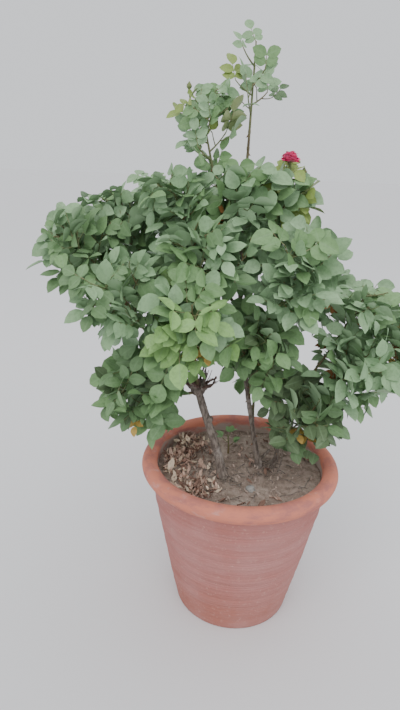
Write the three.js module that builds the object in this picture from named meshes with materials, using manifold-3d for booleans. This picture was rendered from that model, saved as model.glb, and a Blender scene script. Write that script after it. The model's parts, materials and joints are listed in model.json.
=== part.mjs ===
// Rose bush in a terracotta pot. Millimetres, +Z up, +X to the viewer's right, +Y away from the
// viewer. The origin is the centre of the pot's flat underside.
import * as THREE from "three";
import { mergeVertices } from "three/addons/utils/BufferGeometryUtils.js";
import Module from "manifold-3d";

const wasm = await Module();
wasm.setup();

const GAP = 0.3; // clear distance between neighbouring pieces

// Pot and soil
const POT_HEIGHT = 300;
const RIM_RADIUS = 178; // outermost point of the rolled lip
const LIP_RADIUS = 14; // radius of the lip's round section
const BASE_RADIUS = 108;
const SHOULDER_RADIUS = 161; // outer wall where it meets the lip
const WALL = 11;
const FLOOR = 16;
const DRAIN_RADIUS = 8;
const DRAIN_CIRCLE = 46;
const POT_SIDES = 36;
const SOIL_LEVEL = 272;
const SOIL_RINGS = 6;

// Heaps of leaf litter on the soil: centre, height and spread.
const LITTER = [
  { x: -116, y: 8, height: 13, spread: 24 },
  { x: -98, y: 78, height: 9, spread: 22 },
  { x: -84, y: -88, height: 7, spread: 20 },
  { x: 98, y: -70, height: 6, spread: 18 },
];

// Stems and canes. A limb starts on the soil (foot) or on another limb (parent, at = 0 to 1 along
// it), and runs to tip. c1 and c2 pull its curve. r0 and r1 are its radii, flare widens its foot.
const TRUNKS = {
  trunk_left: {
    foot: [-32, -30],
    c1: [-40, -28, 330],
    c2: [-70, -14, 385],
    tip: [-81, -5, 430],
    r0: 7.8,
    r1: 6.6,
    flare: 4.5,
  },
  trunk_right: {
    foot: [37, 9],
    c1: [8, 10, 410],
    c2: [-22, 26, 540],
    tip: [-19, 40, 708],
    r0: 4.9,
    r1: 3.1,
    flare: 3.5,
  },
  stem_thin: {
    foot: [61, 8],
    c1: [78, 9, 315],
    c2: [62, 3, 370],
    tip: [90, -5, 425],
    r0: 3.4,
    r1: 2.5,
    flare: 2,
  },
};

// Swollen knots fused to a trunk, and the dead snags that stand on it.
const KNOTS = {
  trunk_left: [
    { at: [-81, -5, 428], r: 13 },
    { at: [-91, -9, 437], r: 8.5 },
    { at: [-72, -12, 436], r: 8 },
    { at: [-78, 6, 437], r: 8.5 },
    { at: [-60, -18, 378], r: 8.8 },
  ],
  trunk_right: [{ at: [36, 9, 281], r: 7.5 }],
};
const SNAGS = {
  trunk_left: [
    { from: [-84, -12, 434], to: [-97, -27, 452], r: 4.2 },
    { from: [-74, -4, 436], to: [-68, -2, 459], r: 3.6 },
  ],
  trunk_right: [{ from: [36, 9, 284], to: [55, 6, 309], r: 3.4 }],
};

// A green sucker that comes up through the soil: foot, tip and radii, and its short side shoots.
const SUCKER = {
  foot: [-18, 55],
  tip: [-21, 55, 311],
  r0: 1.8,
  r1: 1,
  shoots: [
    { at: 0.4, out: [11, -4, 12] },
    { at: 0.6, out: [-12, 3, 11] },
    { at: 0.78, out: [5, 9, 10] },
  ],
};

// Foliage masses: centre and half sizes of the space each keeps to.
const MASSES = {
  far_left: { centre: [-276, -14, 655], half: [80, 74, 84] },
  upper_left: { centre: [-208, 40, 700], half: [80, 74, 72] },
  upper_mid: { centre: [-122, 8, 728], half: [74, 72, 72] },
  mid_left: { centre: [-200, -72, 588], half: [80, 72, 80] },
  low_left: { centre: [-172, -32, 421], half: [84, 72, 74] },
  front_centre: { centre: [-92, -112, 560], half: [74, 66, 88] },
  centre: { centre: [-78, -62, 655], half: [74, 66, 74] },
  crown_top: { centre: [-28, 10, 742], half: [76, 72, 76] },
  spire: { centre: [-88, 24, 846], half: [58, 52, 82] },
  tall_tip: { centre: [-14, 60, 926], half: [56, 50, 84] },
  upper_right: { centre: [42, 30, 744], half: [66, 64, 76] },
  right: { centre: [52, -44, 640], half: [72, 68, 84] },
  low_mid: { centre: [18, -24, 512], half: [58, 58, 76] },
  low_right: { centre: [102, -36, 386], half: [78, 68, 72] },
  right_mid: { centre: [174, -20, 472], half: [74, 70, 80] },
  right_top: { centre: [190, 20, 584], half: [74, 68, 76] },
  right_edge: { centre: [260, 24, 506], half: [60, 62, 86] },
  back_left: { centre: [-150, 150, 580], half: [84, 76, 90] },
  back_centre: { centre: [-10, 180, 640], half: [84, 76, 90] },
  back_right: { centre: [130, 148, 566], half: [82, 74, 86] },
  back_low: { centre: [34, 142, 436], half: [78, 70, 76] },
};

// Blooms and buds, by the mass they grow in: centre, radius and height as a share of the width.
const BLOOMS = {
  upper_right: [
    { at: [47, 18, 816], r: 14.5, tallness: 0.85 },
    { at: [70, 14, 792], r: 6, tallness: 1.5 },
  ],
  spire: [{ at: [-112, 22, 908], r: 4.5, tallness: 1.7 }],
};

// Boughs, in order from their parents outwards. Each ends where it enters the mass of its name.
// at is the place on the parent, lift turns its start from the straight way towards the parent's.
const BOUGHS = {
  low_left: { parent: "trunk_left", at: 0.96, lift: 0.1, r0: 3.1 },
  mid_left: { parent: "trunk_left", at: 0.98, lift: 0.3, r0: 3.4 },
  upper_left: { parent: "trunk_left", at: 1, lift: 0.5, r0: 4.2 },
  far_left: { parent: "upper_left", at: 0.42, lift: 0.5, r0: 2.9 },
  front_centre: { parent: "trunk_left", at: 0.97, lift: 0.3, r0: 3.1 },
  back_left: { parent: "trunk_left", at: 0.95, lift: 0.4, r0: 3.3 },
  centre: { parent: "trunk_right", at: 0.5, lift: 0.4, r0: 2.9 },
  low_mid: { parent: "trunk_right", at: 0.3, lift: 0.3, r0: 2.2 },
  right: { parent: "trunk_right", at: 0.42, lift: 0.3, r0: 2.8 },
  back_low: { parent: "trunk_right", at: 0.17, lift: 0.4, r0: 2.7 },
  back_right: { parent: "trunk_right", at: 0.36, lift: 0.3, r0: 3 },
  back_centre: { parent: "trunk_right", at: 0.56, lift: 0.4, r0: 2.9 },
  upper_right: { parent: "trunk_right", at: 0.72, lift: 0.4, r0: 2.6 },
  upper_mid: { parent: "trunk_right", at: 0.62, lift: 0.5, r0: 2.5 },
  spire: { parent: "trunk_right", at: 0.8, lift: 0.5, r0: 2.5 },
  tall_tip: { parent: "trunk_right", at: 1, lift: 0.6, r0: 2.8 },
  crown_top: { parent: "trunk_right", at: 0.9, lift: 0.3, r0: 2.3 },
  low_right: { parent: "stem_thin", at: 0.4, lift: 0.2, r0: 2 },
  right_mid: { parent: "stem_thin", at: 0.86, lift: 0.2, r0: 2.1 },
  right_top: { parent: "stem_thin", at: 1, lift: 0.4, r0: 2.3 },
  right_edge: { parent: "right_mid", at: 0.4, lift: 0.3, r0: 1.8 },
};
const BOUGH_TIP_RADIUS = 1.9;
const BOUGH_STEP = 44; // length of one straight piece of a limb
const TRUNK_SIDES = 8;
const BOUGH_SIDES = 5;

// Growth of a mass
const GOLDEN_TURN = THREE.MathUtils.degToRad(137.5);
const SHOOT_STEP = 45; // length of one straight piece of a shoot
const LEAF_PITCH = 17; // distance between leaves along a shoot
const MAIN_SHOOT = { r0: 2, r1: 1.5, bare: 0.14 };
const SIDE_SHOOT = { r0: 0.9, r1: 1.4, bare: 0.4 };
const BLOOM_STALK = { r0: 0.9, r1: 1.6, from: 0.8 };
const LEAFLET_LENGTH = 70;
const LEAFLET_SHAPE = { width: 0.8, thickness: 0.034, widest: 0.42, thickest: 0.16 };
const LEAFLETS_PER_MASS = 19;
const CROWN_AXIS = [-20, 70]; // leaves turn their faces up and away from it
const STALK = { r0: 0.6, r1: 1.3 };
const SUNK = 0.3; // how far a leaflet's root lies past its stalk's centre line
const STAGGER = 2.5; // how far the two leaflets of a pair stand off each other along the stalk
const ROOT_TRIM = 4; // length at a leaflet's root that may meet its own stalk
const MARGIN = 1; // from the wall of a mass's space
const LIMB_MARGIN = 1.5; // from a limb's bark
const OUTLINE_SHARE = 1.15; // how far past a mass's rounded outline a leaflet may reach

// Leaves are tried at one size after another, each leaf keeping at least the fewest leaflets.
const LEAF_SIZES = [
  { size: 1, fewest: 3 },
  { size: 0.86, fewest: 3 },
  { size: 0.74, fewest: 3 },
  { size: 0.62, fewest: 3 },
  { size: 0.74, fewest: 2 },
];
const TURNS = [0, 0.6, -0.6, 1.2, -1.2, 1.8];
const RISES = [0, 0.7];

const BARK = { colour: 0x6f5f4c, roughness: 0.9 };
const CANE = { colour: 0x6d6a3e, roughness: 0.7 };
const LEAF = { colour: 0x5f7a45, roughness: 0.55 };
const YOUNG_LEAF = { colour: 0x8fa04c, roughness: 0.5 };
const TERRACOTTA = { colour: 0xb9745a, roughness: 0.85 };
const EARTH = { colour: 0x7a6a58, roughness: 1 };

const vec = (a) => new THREE.Vector3(a[0], a[1], a[2]);
const UP = new THREE.Vector3(0, 0, 1);

// A seeded source of numbers from 0 to 1, the same on every run.
class Dice {
  constructor(seed) {
    this.state = seed >>> 0;
  }

  next() {
    this.state = (Math.imul(this.state, 1664525) + 1013904223) >>> 0;
    return this.state / 4294967296;
  }

  spread(size) {
    return (2 * this.next() - 1) * size;
  }
}

// A three.js geometry as a solid that can be joined and cut.
function solidOf(geometry) {
  const bare = geometry.clone();
  bare.deleteAttribute("normal");
  bare.deleteAttribute("uv");
  const merged = mergeVertices(bare, 1e-4);
  const corners = [];
  for (let i = 0; i < merged.index.count; i += 3) {
    const [a, b, c] = merged.index.array.slice(i, i + 3);
    if (a !== b && b !== c && c !== a) corners.push(a, b, c);
  }
  return new wasm.Manifold(
    new wasm.Mesh({
      numProp: 3,
      vertProperties: merged.attributes.position.array,
      triVerts: new Uint32Array(corners),
    }),
  );
}

// The largest body of a solid: sealed hollows are filled and loose scraps dropped.
function mainBody(solid) {
  const bodies = solid.decompose();
  return bodies.reduce((a, b) => (b.volume() > a.volume() ? b : a));
}

function joined(solids) {
  return solids.reduce((a, b) => a.add(b));
}

function meshOf(solid, name, finish) {
  const data = solid.getMesh();
  const geometry = new THREE.BufferGeometry();
  geometry.setAttribute("position", new THREE.BufferAttribute(data.vertProperties, 3));
  geometry.setIndex(new THREE.BufferAttribute(data.triVerts, 1));
  geometry.computeVertexNormals();
  const material = new THREE.MeshStandardMaterial({
    color: finish.colour,
    roughness: finish.roughness,
    metalness: 0,
  });
  const mesh = new THREE.Mesh(geometry, material);
  mesh.name = name;
  return mesh;
}

// A lathe turned about Z from a profile of [radius, height] points.
function turned(profile) {
  const points = profile.map(([r, z]) => new THREE.Vector2(r, z));
  return new THREE.LatheGeometry(points, POT_SIDES).rotateX(Math.PI / 2);
}

// Inner face of the pot's wall at a height.
function innerRadius(z) {
  const shoulder = POT_HEIGHT - 2 * LIP_RADIUS;
  const share = Math.min(z / shoulder, 1);
  return BASE_RADIUS + (SHOULDER_RADIUS - BASE_RADIUS) * share - WALL;
}

function makePot() {
  const shoulder = POT_HEIGHT - 2 * LIP_RADIUS;
  const lipCentre = RIM_RADIUS - LIP_RADIUS;
  const profile = [
    [0, 0],
    [BASE_RADIUS - 3, 0],
    [BASE_RADIUS, 3],
    [SHOULDER_RADIUS, shoulder - 4],
  ];
  for (let i = 0; i <= 6; i += 1) {
    const angle = -Math.PI / 2 + (i * Math.PI) / 6;
    const x = lipCentre + LIP_RADIUS * Math.cos(angle);
    profile.push([x, POT_HEIGHT - LIP_RADIUS + LIP_RADIUS * Math.sin(angle)]);
  }
  profile.push([innerRadius(shoulder) + 5, POT_HEIGHT - 3]);
  profile.push([innerRadius(shoulder), POT_HEIGHT - 11]);
  profile.push([innerRadius(shoulder), shoulder]);
  profile.push([innerRadius(FLOOR), FLOOR]);
  profile.push([0, FLOOR]);
  let pot = solidOf(turned(profile));
  for (let i = 0; i < 3; i += 1) {
    const angle = (i * 2 * Math.PI) / 3 + 0.5;
    const drain = new THREE.CylinderGeometry(DRAIN_RADIUS, DRAIN_RADIUS, 4 * FLOOR, 12)
      .rotateX(Math.PI / 2)
      .translate(DRAIN_CIRCLE * Math.cos(angle), DRAIN_CIRCLE * Math.sin(angle), 0);
    pot = pot.subtract(solidOf(drain));
  }
  return pot;
}

// Height of the soil's surface: flat, with the heaps of litter on it.
function soilHeight(x, y) {
  return LITTER.reduce((z, heap) => {
    const away = Math.hypot(x - heap.x, y - heap.y) / heap.spread;
    return away < 1 ? z + heap.height * Math.cos((away * Math.PI) / 2) : z;
  }, SOIL_LEVEL);
}

function makeSoil() {
  const bottom = FLOOR + GAP;
  const profile = [
    [0, bottom],
    [innerRadius(bottom) - GAP, bottom],
  ];
  for (let i = SOIL_RINGS; i >= 0; i -= 1) {
    profile.push([((innerRadius(SOIL_LEVEL) - GAP) * i) / SOIL_RINGS, SOIL_LEVEL]);
  }
  const geometry = turned(profile);
  const place = geometry.attributes.position;
  for (let i = 0; i < place.count; i += 1) {
    const x = place.getX(i);
    const y = place.getY(i);
    if (place.getZ(i) > FLOOR + 1 && Math.hypot(x, y) < innerRadius(SOIL_LEVEL) - 2) {
      place.setZ(i, soilHeight(x, y));
    }
  }
  return solidOf(geometry);
}

// A round bar that tapers along a curve, with flat ends. A three-sided one has a single face at
// each end.
function taperedBar(curve, radiusAt, sides, steps) {
  const bar = new THREE.CylinderGeometry(1, 1, 1, sides, steps);
  const place = bar.attributes.position;
  const frames = curve.computeFrenetFrames(steps);
  for (let i = 0; i < place.count; i += 1) {
    const share = place.getY(i) + 0.5;
    const step = Math.round(share * steps);
    const radius = radiusAt(share);
    const isHub = Math.hypot(place.getX(i), place.getZ(i)) < 0.5;
    const across = isHub && sides === 3 ? 1 : place.getZ(i);
    const point = curve.getPointAt(share);
    point.addScaledVector(frames.normals[step], place.getX(i) * radius);
    point.addScaledVector(frames.binormals[step], -across * radius);
    place.setXYZ(i, point.x, point.y, point.z);
  }
  return bar;
}

// Levels the foot of a bar that stands on the soil.
function cutFlatAtSoil(bar) {
  const place = bar.attributes.position;
  for (let i = 0; i < place.count; i += 1) {
    if (place.getZ(i) < SOIL_LEVEL + 8) place.setZ(i, SOIL_LEVEL + GAP);
  }
}

// One limb: its curve, its radius along it, and its solid with a given extra thickness.
class Limb {
  constructor(name, sizes, curve, sides, extras) {
    this.name = name;
    this.sizes = sizes;
    this.curve = curve;
    this.sides = sides;
    this.extras = extras;
    this.length = curve.getLength();
    this.steps = Math.max(2, Math.round(this.length / BOUGH_STEP));
    const samples = 2 * this.steps;
    this.samples = [];
    for (let i = 0; i <= samples; i += 1) {
      this.samples.push({ point: curve.getPointAt(i / samples), r: this.radius(i / samples) });
    }
  }

  radius(share) {
    const { r0, r1, flare = 0 } = this.sizes;
    return r0 + (r1 - r0) * share + flare * Math.exp((-share * this.length) / 11);
  }

  solid(extra) {
    const bar = taperedBar(this.curve, (s) => this.radius(s) + extra, this.sides, this.steps);
    cutFlatAtSoil(bar);
    const pieces = [solidOf(bar)];
    for (const knot of this.extras.knots) {
      const ball = new THREE.IcosahedronGeometry(1.08 * knot.r + extra, 0).translate(...knot.at);
      pieces.push(solidOf(ball));
    }
    for (const snag of this.extras.snags) {
      const line = new THREE.LineCurve3(vec(snag.from), vec(snag.to));
      const taper = (s) => snag.r * (1 - 0.25 * s) + extra;
      pieces.push(solidOf(taperedBar(line, taper, 6, 1)));
    }
    return joined(pieces);
  }

  // Its straight pieces, knots and snags as [start, end, radius].
  pieces() {
    const bars = this.samples.slice(1).map((b, i) => [this.samples[i].point, b.point, b.r]);
    bars[0][2] = this.samples[0].r;
    const knots = this.extras.knots.map((k) => [vec(k.at), vec(k.at), k.r]);
    const snags = this.extras.snags.map((snag) => [vec(snag.from), vec(snag.to), snag.r]);
    return [...bars, ...knots, ...snags];
  }
}

// Shortest distance between the lines p to q and a to b.
function lineDistance(p, q, a, b) {
  const u = q.clone().sub(p);
  const v = b.clone().sub(a);
  const w = p.clone().sub(a);
  const [uu, uv, vv, uw, vw] = [u.dot(u), u.dot(v), v.dot(v), u.dot(w), v.dot(w)];
  const size = uu * vv - uv * uv;
  const clamp = (x) => Math.min(Math.max(x, 0), 1);
  let s = size > 1e-9 ? clamp((uv * vw - vv * uw) / size) : 0;
  const t = vv > 1e-9 ? clamp((uv * s + vw) / vv) : 0;
  s = uu > 1e-9 ? clamp((uv * t - uw) / uu) : 0;
  return w.addScaledVector(u, s).addScaledVector(v, -t).length();
}

// How far inside its own space a point of a mass is. The spaces are parted by flat walls.
function depthInSpace(name, point) {
  const own = MASSES[name];
  const centre = vec(own.centre);
  const reach = (m) => (m.half[0] + m.half[1] + m.half[2]) / 3;
  let depth = Infinity;
  for (const [other, mass] of Object.entries(MASSES)) {
    if (other === name) continue;
    const there = vec(mass.centre);
    const its = point.distanceToSquared(there) - reach(mass) ** 2;
    const mine = point.distanceToSquared(centre) - reach(own) ** 2;
    depth = Math.min(depth, (its - mine) / (2 * centre.distanceTo(there)));
  }
  return depth;
}

// 0 at a mass's centre and 1 at the wall of its rounded outline.
function spread(name, point) {
  const { centre, half } = MASSES[name];
  return point.clone().sub(vec(centre)).divide(vec(half)).length();
}

function isInSpace(name, point, share = 1) {
  return spread(name, point) <= share && depthInSpace(name, point) >= MARGIN;
}

const limbs = {};

// The pieces of all limbs that lie near a mass.
function limbPiecesNear(name) {
  const centre = vec(MASSES[name].centre);
  const far = Math.max(...MASSES[name].half) * OUTLINE_SHARE;
  const pieces = Object.values(limbs).flatMap((limb) => limb.pieces());
  return pieces.filter(([a, b, r]) => lineDistance(centre, centre, a, b) < far + r + LIMB_MARGIN);
}

function lineIsClear([p, q], pieces) {
  return pieces.every(([a, b, r]) => lineDistance(p, q, a, b) >= r + LIMB_MARGIN);
}

function growTrunks() {
  for (const [name, row] of Object.entries(TRUNKS)) {
    const foot = new THREE.Vector3(row.foot[0], row.foot[1], SOIL_LEVEL + GAP);
    const curve = new THREE.CubicBezierCurve3(foot, vec(row.c1), vec(row.c2), vec(row.tip));
    const extras = { knots: KNOTS[name] ?? [], snags: SNAGS[name] ?? [] };
    limbs[name] = new Limb(name, row, curve, TRUNK_SIDES, extras);
  }
}

// A bough leaves its parent between the parent's own way and the straight way to its mass.
function growBoughs() {
  for (const [name, row] of Object.entries(BOUGHS)) {
    const parent = limbs[BOUGHS[row.parent] ? "bough_" + row.parent : row.parent];
    const onwards = parent.curve.getTangentAt(row.at);
    const start = parent.curve.getPointAt(row.at);
    if (row.at === 1) start.addScaledVector(onwards, GAP);
    const centre = vec(MASSES[name].centre);
    const tip = start.clone();
    for (let share = 0.02; share < 0.8; share += 0.02) {
      tip.lerpVectors(start, centre, share);
      if (isInSpace(name, tip, 0.78) && depthInSpace(name, tip) > 6) break;
    }
    const chord = tip.clone().sub(start);
    const length = chord.length();
    const heading = chord.clone().normalize().lerp(onwards, row.lift).normalize();
    const c1 = start.clone().addScaledVector(heading, length * 0.42);
    const arrival = chord.normalize().addScaledVector(UP, 0.25).normalize();
    const c2 = tip.clone().addScaledVector(arrival, -length * 0.3);
    const curve = new THREE.CubicBezierCurve3(start, c1, c2, tip);
    const sizes = { r0: row.r0, r1: BOUGH_TIP_RADIUS };
    const extras = { knots: [], snags: [] };
    limbs["bough_" + name] = new Limb("bough_" + name, sizes, curve, BOUGH_SIDES, extras);
  }
}

// The corners of a leaflet's outline: root, left, tip and right. trim leaves out the root's end.
function leafletOutline(leaflet, trim = 0) {
  const { root, along, face, length } = leaflet;
  const side = new THREE.Vector3().crossVectors(face, along).normalize();
  const at = (share, across) =>
    root.clone().addScaledVector(along, share * length).addScaledVector(side, across * length);
  const half = LEAFLET_SHAPE.width / 2;
  const widest = LEAFLET_SHAPE.widest;
  return [at(trim / length, 0), at(widest, half), at(1, 0), at(widest, -half)];
}

// A leaflet's blade: eight faces, widest near its middle and thickest near its root.
function leafletSolid(leaflet) {
  const { root, along, face, length } = leaflet;
  const [, left, tip, right] = leafletOutline(leaflet);
  const up = face.clone().addScaledVector(along, -face.dot(along)).normalize();
  const spine = root.clone().addScaledVector(along, LEAFLET_SHAPE.thickest * length);
  const half = (LEAFLET_SHAPE.thickness * length) / 2;
  const blade = new THREE.OctahedronGeometry(1, 0);
  const place = blade.attributes.position;
  for (let i = 0; i < place.count; i += 1) {
    const [x, y, z] = [place.getX(i), place.getY(i), place.getZ(i)];
    let point = spine.clone().addScaledVector(up, z * half);
    if (Math.abs(x) > 0.5) point = x > 0 ? tip : root;
    if (Math.abs(y) > 0.5) point = y > 0 ? left : right;
    place.setXYZ(i, point.x, point.y, point.z);
  }
  return solidOf(blade);
}

// Whether the line from p to q goes through triangle a, b, c.
function crosses(p, q, a, b, c) {
  const way = q.clone().sub(p);
  const ab = b.clone().sub(a);
  const ac = c.clone().sub(a);
  const h = way.clone().cross(ac);
  const size = ab.dot(h);
  if (Math.abs(size) < 1e-9) return false;
  const fromA = p.clone().sub(a);
  const u = fromA.dot(h) / size;
  const g = fromA.cross(ab);
  const v = way.dot(g) / size;
  const t = ac.dot(g) / size;
  return u >= 0 && v >= 0 && u + v <= 1 && t >= 0 && t <= 1;
}

function outlineIsCrossed(outline, lines) {
  const [root, left, tip, right] = outline;
  return lines.some(
    ([p, q]) => crosses(p, q, root, left, tip) || crosses(p, q, root, tip, right),
  );
}

function edgesOf(outline) {
  return outline.map((corner, i) => [corner, outline[(i + 1) % outline.length]]);
}

// A compound leaf: a stalk with one end leaflet and its pairs, all facing the light.
function compoundLeaf(node, heading, size) {
  const along = heading.clone().normalize();
  const face = node.light.clone().addScaledVector(along, -node.light.dot(along)).normalize();
  const side = new THREE.Vector3().crossVectors(face, along).normalize();
  const unit = LEAFLET_LENGTH * size;
  const reach = unit * (0.2 + 0.42 * node.pairs);
  const end = node.base.clone().addScaledVector(along, reach);
  const leaflets = [];
  const put = (distance, direction, tilt, length) => {
    const way = direction.normalize();
    const root = node.base.clone().addScaledVector(along, distance).addScaledVector(way, -SUNK);
    leaflets.push({ root, along: way, face: face.clone().addScaledVector(side, tilt), length });
  };
  put(reach, along.clone().addScaledVector(face, -0.12), 0, unit);
  for (let pair = 0; pair < node.pairs; pair += 1) {
    const spot = unit * (0.2 + 0.42 * pair);
    const length = unit * (pair === node.pairs - 1 ? 0.9 : 0.78);
    for (const hand of [-1, 1]) {
      const way = along.clone().multiplyScalar(0.4).addScaledVector(side, hand);
      put(spot + hand * STAGGER, way.addScaledVector(face, -0.18), hand * 0.3, length);
    }
  }
  return { line: [node.base, end], leaflets };
}

// Whether a leaflet keeps to its space, clear of the limbs and of what the mass already has.
function leafletFits(name, leaflet, placed) {
  const outline = leafletOutline(leaflet, ROOT_TRIM);
  if (!outline.every((p) => isInSpace(name, p, OUTLINE_SHARE))) return false;
  if (outlineIsCrossed(outline, placed.lines)) return false;
  if (outlineIsCrossed(outline, placed.limbs)) return false;
  const edges = edgesOf(outline);
  if (placed.outlines.some((other) => outlineIsCrossed(other, edges))) return false;
  return edges.every((edge) => lineIsClear(edge, placed.limbs));
}

// The leaf without the leaflets that don't fit, or with none if its stalk doesn't.
function prunedLeaf(name, leaf, placed) {
  const fits =
    isInSpace(name, leaf.line[1], OUTLINE_SHARE) &&
    lineIsClear(leaf.line, placed.limbs) &&
    !placed.outlines.some((outline) => outlineIsCrossed(outline, [leaf.line]));
  const leaflets = fits ? leaf.leaflets.filter((one) => leafletFits(name, one, placed)) : [];
  return { line: leaf.line, leaflets };
}

// Two directions square to a shoot, steady along its length.
function squareTo(direction) {
  const rough = Math.abs(direction.y) < 0.8 ? new THREE.Vector3(0, 1, 0) : new THREE.Vector3(1, 0, 0);
  const first = rough.addScaledVector(direction, -rough.dot(direction)).normalize();
  return [first, new THREE.Vector3().crossVectors(direction, first)];
}

// The leaf of a given size that keeps the most leaflets at a node, of several turns round it.
function fittingLeaf(name, node, size, placed) {
  const [first, second] = squareTo(node.onwards);
  const ways = RISES.flatMap((extra) => TURNS.map((shift) => [node.turn + shift, extra]));
  let best = { leaflets: [] };
  for (const [angle, extra] of ways) {
    const out = first.clone().multiplyScalar(Math.cos(angle));
    out.addScaledVector(second, Math.sin(angle));
    out.addScaledVector(node.onwards, node.rise + extra);
    const leaf = prunedLeaf(name, compoundLeaf(node, out, size), placed);
    if (leaf.leaflets.length > best.leaflets.length) best = leaf;
  }
  return best;
}

// The nodes of a shoot, one after another round it, the last one at its tip.
function nodesAlong(name, shoot, dice) {
  const nodes = [];
  const span = 1 - shoot.bare;
  const count = Math.max(2, Math.round((shoot.length * span) / LEAF_PITCH) + 1);
  const outward = vec(MASSES[name].centre).sub(vec([...CROWN_AXIS, 0])).setZ(0).normalize();
  let turn = dice.next() * 2 * Math.PI;
  for (let i = 0; i < count; i += 1) {
    const share = shoot.bare + (span * i) / (count - 1);
    const atTip = i === count - 1;
    const light = UP.clone().addScaledVector(outward, 0.8);
    light.add(new THREE.Vector3(dice.spread(0.45), dice.spread(0.45), dice.spread(0.2)));
    turn += GOLDEN_TURN + dice.spread(0.3);
    nodes.push({
      ...placeOn(shoot, Math.min(share, 0.97)),
      turn,
      light,
      rise: atTip ? 1.6 : 0.6 + dice.spread(0.35),
      pairs: dice.next() < 0.5 ? 2 : 1,
      rank: atTip ? 0 : 0.1 + dice.next(),
    });
  }
  return nodes;
}

// A shoot from start to end. sizes.bare is the share of it below its first leaf.
function makeShoot(start, heading, end, sizes) {
  const length = start.distanceTo(end);
  const c1 = start.clone().addScaledVector(heading, length * 0.35);
  const c2 = end.clone().sub(start).normalize().addScaledVector(UP, 0.35).normalize();
  c2.multiplyScalar(-length * 0.3).add(end);
  const curve = new THREE.CubicBezierCurve3(start, c1, c2, end);
  const points = curve.getSpacedPoints(Math.max(1, Math.round(length / SHOOT_STEP)));
  const lines = points.slice(1).map((point, i) => [points[i], point]);
  return { curve, length, lines, ...sizes };
}

// The point and the direction at a share of a shoot's length, on its straight pieces.
function placeOn(shoot, share) {
  const along = share * shoot.lines.length;
  const index = Math.min(Math.floor(along), shoot.lines.length - 1);
  const [from, to] = shoot.lines[index];
  const onwards = to.clone().sub(from).normalize();
  return { base: from.clone().lerp(to, along - index), onwards };
}

function shootSolid(shoot) {
  const radius = (s) => shoot.r0 + (shoot.r1 - shoot.r0) * s;
  return solidOf(taperedBar(shoot.curve, radius, 3, shoot.lines.length));
}

// A bloom or bud, with the stalk that joins it to the main shoot.
function bloomSolid(bloom, main) {
  const foot = bloom.at[2] - 0.5 * bloom.r * bloom.tallness;
  const line = new THREE.LineCurve3(
    placeOn(main, BLOOM_STALK.from).base,
    new THREE.Vector3(bloom.at[0], bloom.at[1], foot),
  );
  const radius = (s) => BLOOM_STALK.r0 + (BLOOM_STALK.r1 - BLOOM_STALK.r0) * s;
  const head = new THREE.IcosahedronGeometry(bloom.r, bloom.r > 10 ? 1 : 0);
  head.scale(1, 1, bloom.tallness).translate(...bloom.at);
  return solidOf(taperedBar(line, radius, 3, 1)).add(solidOf(head));
}

// A mass grows from its bough's tip: one main shoot, side shoots from it, and leaves on them all.
function growMass(name, index) {
  const dice = new Dice(977 + 131 * index);
  const { centre, half } = MASSES[name];
  const bough = limbs["bough_" + name];
  const heading = bough.curve.getTangentAt(1);
  const start = bough.curve.getPointAt(1).addScaledVector(heading, GAP);
  const middle = vec(centre);
  const near = limbPiecesNear(name);
  const blooms = BLOOMS[name] ?? [];
  const onwards = middle.clone().sub(start).normalize().addScaledVector(UP, 0.6).normalize();
  const end = middle.clone();
  for (let share = 0.62; share > 0; share -= 0.04) {
    end.copy(onwards).multiply(vec(half)).multiplyScalar(share).add(middle);
    if (isInSpace(name, end) && lineIsClear([middle, end], near)) break;
  }
  const main = makeShoot(start, heading, end, MAIN_SHOOT);
  const shoots = [main];
  let turn = dice.next() * 2 * Math.PI;
  for (const share of [0.2, 0.44, 0.68]) {
    turn += GOLDEN_TURN;
    const { base, onwards: along } = placeOn(main, share);
    const [first, second] = squareTo(along);
    const way = first.clone().multiplyScalar(Math.cos(turn));
    way.addScaledVector(second, Math.sin(turn)).addScaledVector(along, 0.55).normalize();
    const reach = 0.55 * half[0] * (1 - 0.25 * share);
    const tip = base.clone().addScaledVector(way, reach).addScaledVector(UP, reach * 0.2);
    const side = makeShoot(base, way, tip, SIDE_SHOOT);
    if (isInSpace(name, tip) && side.lines.every((line) => lineIsClear(line, near))) {
      shoots.push(side);
    }
  }
  const nodes = shoots.flatMap((shoot) => nodesAlong(name, shoot, dice));
  nodes.sort((a, b) => a.rank - b.rank);
  const lines = shoots.flatMap((shoot) => shoot.lines);
  const heads = blooms.map(({ at, r }) => [vec(at), vec(at), r]);
  const placed = { outlines: [], lines, limbs: [...near, ...heads] };
  const leaves = [];
  for (const { size, fewest } of LEAF_SIZES) {
    for (const node of nodes) {
      if (node.isTaken || placed.outlines.length >= LEAFLETS_PER_MASS) continue;
      const leaf = fittingLeaf(name, node, size, placed);
      if (leaf.leaflets.length < fewest) continue;
      node.isTaken = true;
      leaves.push(leaf);
      const outlines = leaf.leaflets.map((leaflet) => leafletOutline(leaflet, ROOT_TRIM));
      placed.outlines.push(...outlines);
      placed.lines.push(leaf.line, ...outlines.flatMap(edgesOf));
    }
  }
  return { shoots, leaves, blooms: blooms.map((bloom) => bloomSolid(bloom, main)) };
}

function massSolid(growth) {
  const pieces = [...growth.shoots.map(shootSolid), ...growth.blooms];
  for (const leaf of growth.leaves) {
    const radius = (s) => STALK.r0 + (STALK.r1 - STALK.r0) * s;
    pieces.push(solidOf(taperedBar(new THREE.LineCurve3(...leaf.line), radius, 3, 1)));
    pieces.push(...leaf.leaflets.map(leafletSolid));
  }
  return mainBody(joined(pieces));
}

function boughSolid(limb) {
  const row = BOUGHS[limb.name.slice(6)];
  const parent = limbs[BOUGHS[row.parent] ? "bough_" + row.parent : row.parent];
  return mainBody(limb.solid(0).subtract(parent.solid(GAP)));
}

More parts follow.
